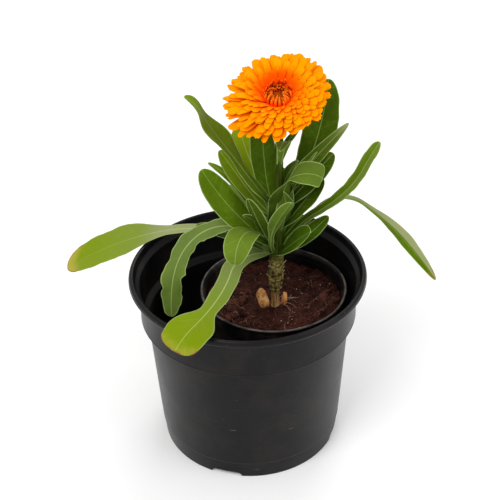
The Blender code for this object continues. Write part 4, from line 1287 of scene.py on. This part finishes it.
def fibre(shape, spot, turn, length, thick, drift, rng, lift=0):
    """One thin fibre that follows the soil, with its middle a little above it."""
    route = []
    steps = 9
    point = Vector((spot.x, spot.y, 0))
    bend = rng.uniform(-1, 1) * drift if lift == 0 else drift
    arch = rng.uniform(0.2, 1.2) + 0.6 * lift
    for step in range(steps + 1):
        share = step / steps
        height = soil_height(point) + thick * 0.4 + arch * sin(pi * share)
        if step in (0, steps):
            height -= 0.6
        height += lift * 0.5 * max(0, 3 - step)
        route.append((Vector((point.x, point.y, height)) * MM, thick * (1 - 0.55 * share) * MM))
        if (point - CUP_CENTRE / MM).length > FIBRE_REACH:
            break
        point = point + level(turn + bend * share * 2 + 14 * sin(share * 9)) * length / steps
    if len(route) > 3:
        tone = rng.random()
        shape.tube(route, 6, lambda share: dict(tone=tone))


def bark_chip(name, node, centre, size, lean, seed, look):
    """A worn chip of bark, layered and pitted, flat where it stands."""
    tip = turning(lean[0], "X") @ turning(lean[1], "Y")
    foot = SOIL_TOP - 0.4 * MM
    middle = Vector((centre[0] * MM, centre[1] * MM, SOIL_TOP + 0.36 * size[2] * MM))
    shape = Shape("layer")
    rings = []
    for row in range(CHIP_ROWS + 1):
        polar = pi * row / CHIP_ROWS
        ring = []
        for side in range(1 if row in (0, CHIP_ROWS) else CHIP_SIDES):
            angle = 2 * pi * side / CHIP_SIDES
            ball = Vector((sin(polar) * cos(angle), sin(polar) * sin(angle), -cos(polar)))
            square = Vector(tuple(copysign(abs(part) ** 0.82, part) for part in ball))
            worn = 1 + 0.18 * noise.noise(ball * 1.6 + Vector((seed, 0, 0)))
            worn += 0.07 * noise.fractal(ball * 4 + Vector((0, seed, 0)), 0.8, 2, 4)
            layer = square.x * 3 + 0.5 * noise.noise(ball * 3)
            worn += 0.018 * sin(layer * 9)
            local = Vector(tuple(square[k] * size[k] / 2 * worn for k in range(3)))
            place = middle + (tip @ local) * MM
            place.z = max(place.z, foot)
            ring.append(shape.point(place, layer=layer))
        rings.append(ring)
    shape.skin(rings)
    shape.made(name, look, "bark", node)


def bark_look():
    look = Look("bark", (208, 126, 58), roughness=0.75, specular=0.12)
    layers = look.math("SINE", look.times(look.value("layer"), 14))
    look.coat(look.band(look.noise(260, 4, 0.6), 0.35, 0.65), (248, 198, 134))
    look.coat(look.band(layers, 0.2, 1, 0, 0.35), (186, 108, 48))
    look.coat(look.band(look.noise(620, 4, 0.7), 0.34, 0.44, 0.85, 0), (96, 50, 22))
    low = look.band(look.axis("Z"), 0.1035, 0.1085, 0.75, 0)
    look.coat(look.times(low, look.band(look.noise(500), 0.35, 0.6)), (88, 46, 26))
    look.bump((layers, 0.0003, 0.4), (look.noise(1200, 4, 0.7), 0.0005, 0.6))
    return look


def bark_chips():
    look = bark_look()
    bark_chip("bark_chip_tan", "bark_chip_left", (10.2, 1.6), (8, 5, 14.5), (-18, -16), 3, look)
    bark_chip("bark_chip_pale", "bark_chip_right", (25.8, 3.4), (3.8, 3.6, 10), (-10, 4), 5, look)


def area_light(name, place, aim, size, power):
    lamp = bpy.data.lights.new(name, "AREA")
    lamp.shape = "SQUARE"
    lamp.size = size
    lamp.energy = power
    item = bpy.data.objects.new(name, lamp)
    item.location = place
    item.rotation_euler = (Vector(aim) - Vector(place)).to_track_quat("-Z", "Y").to_euler()
    bpy.context.scene.collection.objects.link(item)


def studio():
    """A near-white floor and surround, and soft light from above and both sides."""
    scene = bpy.context.scene
    scene.view_settings.view_transform = "Standard"
    corners = [(FLOOR_HALF * x, FLOOR_HALF * y, 0) for x, y in ((-1, -1), (1, -1), (1, 1), (-1, 1))]
    mesh = bpy.data.meshes.new("floor")
    mesh.from_pydata(corners, [], [(0, 1, 2, 3)])
    mesh.materials.append(Look("floor", [0.92, 0.92, 0.92, 1], roughness=0.8, specular=0.1).material)
    floor = bpy.data.objects.new("floor", mesh)
    scene.collection.objects.link(floor)
    world = bpy.data.worlds.new("studio")
    world.use_nodes = True
    background = world.node_tree.nodes["Background"].inputs
    background["Color"].default_value = (1, 1, 1, 1)
    background["Strength"].default_value = 0.72
    scene.world = world
    area_light("key", (-0.7, -0.9, 1.5), (0, 0, 0.15), 0.9, 16)
    area_light("fill", (1.1, -0.5, 0.9), (0, 0, 0.15), 0.9, 5)
    area_light("back", (0.3, 1.1, 1.2), (0, 0, 0.2), 0.8, 7)


def camera():
    """The photo's camera."""
    data = bpy.data.cameras.new("camera")
    data.lens = CAMERA_LENS
    data.sensor_width = 36
    item = bpy.data.objects.new("camera", data)
    ahead = heading(-CAMERA_DIP, 90)
    right = turning(CAMERA_ROLL, ahead) @ Vector((1, 0, 0))
    up = right.cross(ahead)
    turn = Matrix((right, up, -ahead)).transposed().to_4x4()
    item.matrix_world = Matrix.Translation(CAMERA_PLACE) @ turn
    bpy.context.scene.collection.objects.link(item)
    bpy.context.scene.camera = item


studio()
camera()
pots()
soil()
bark_chips()
stem()
scales()
leaves()
calyx()
bloom()
eye()
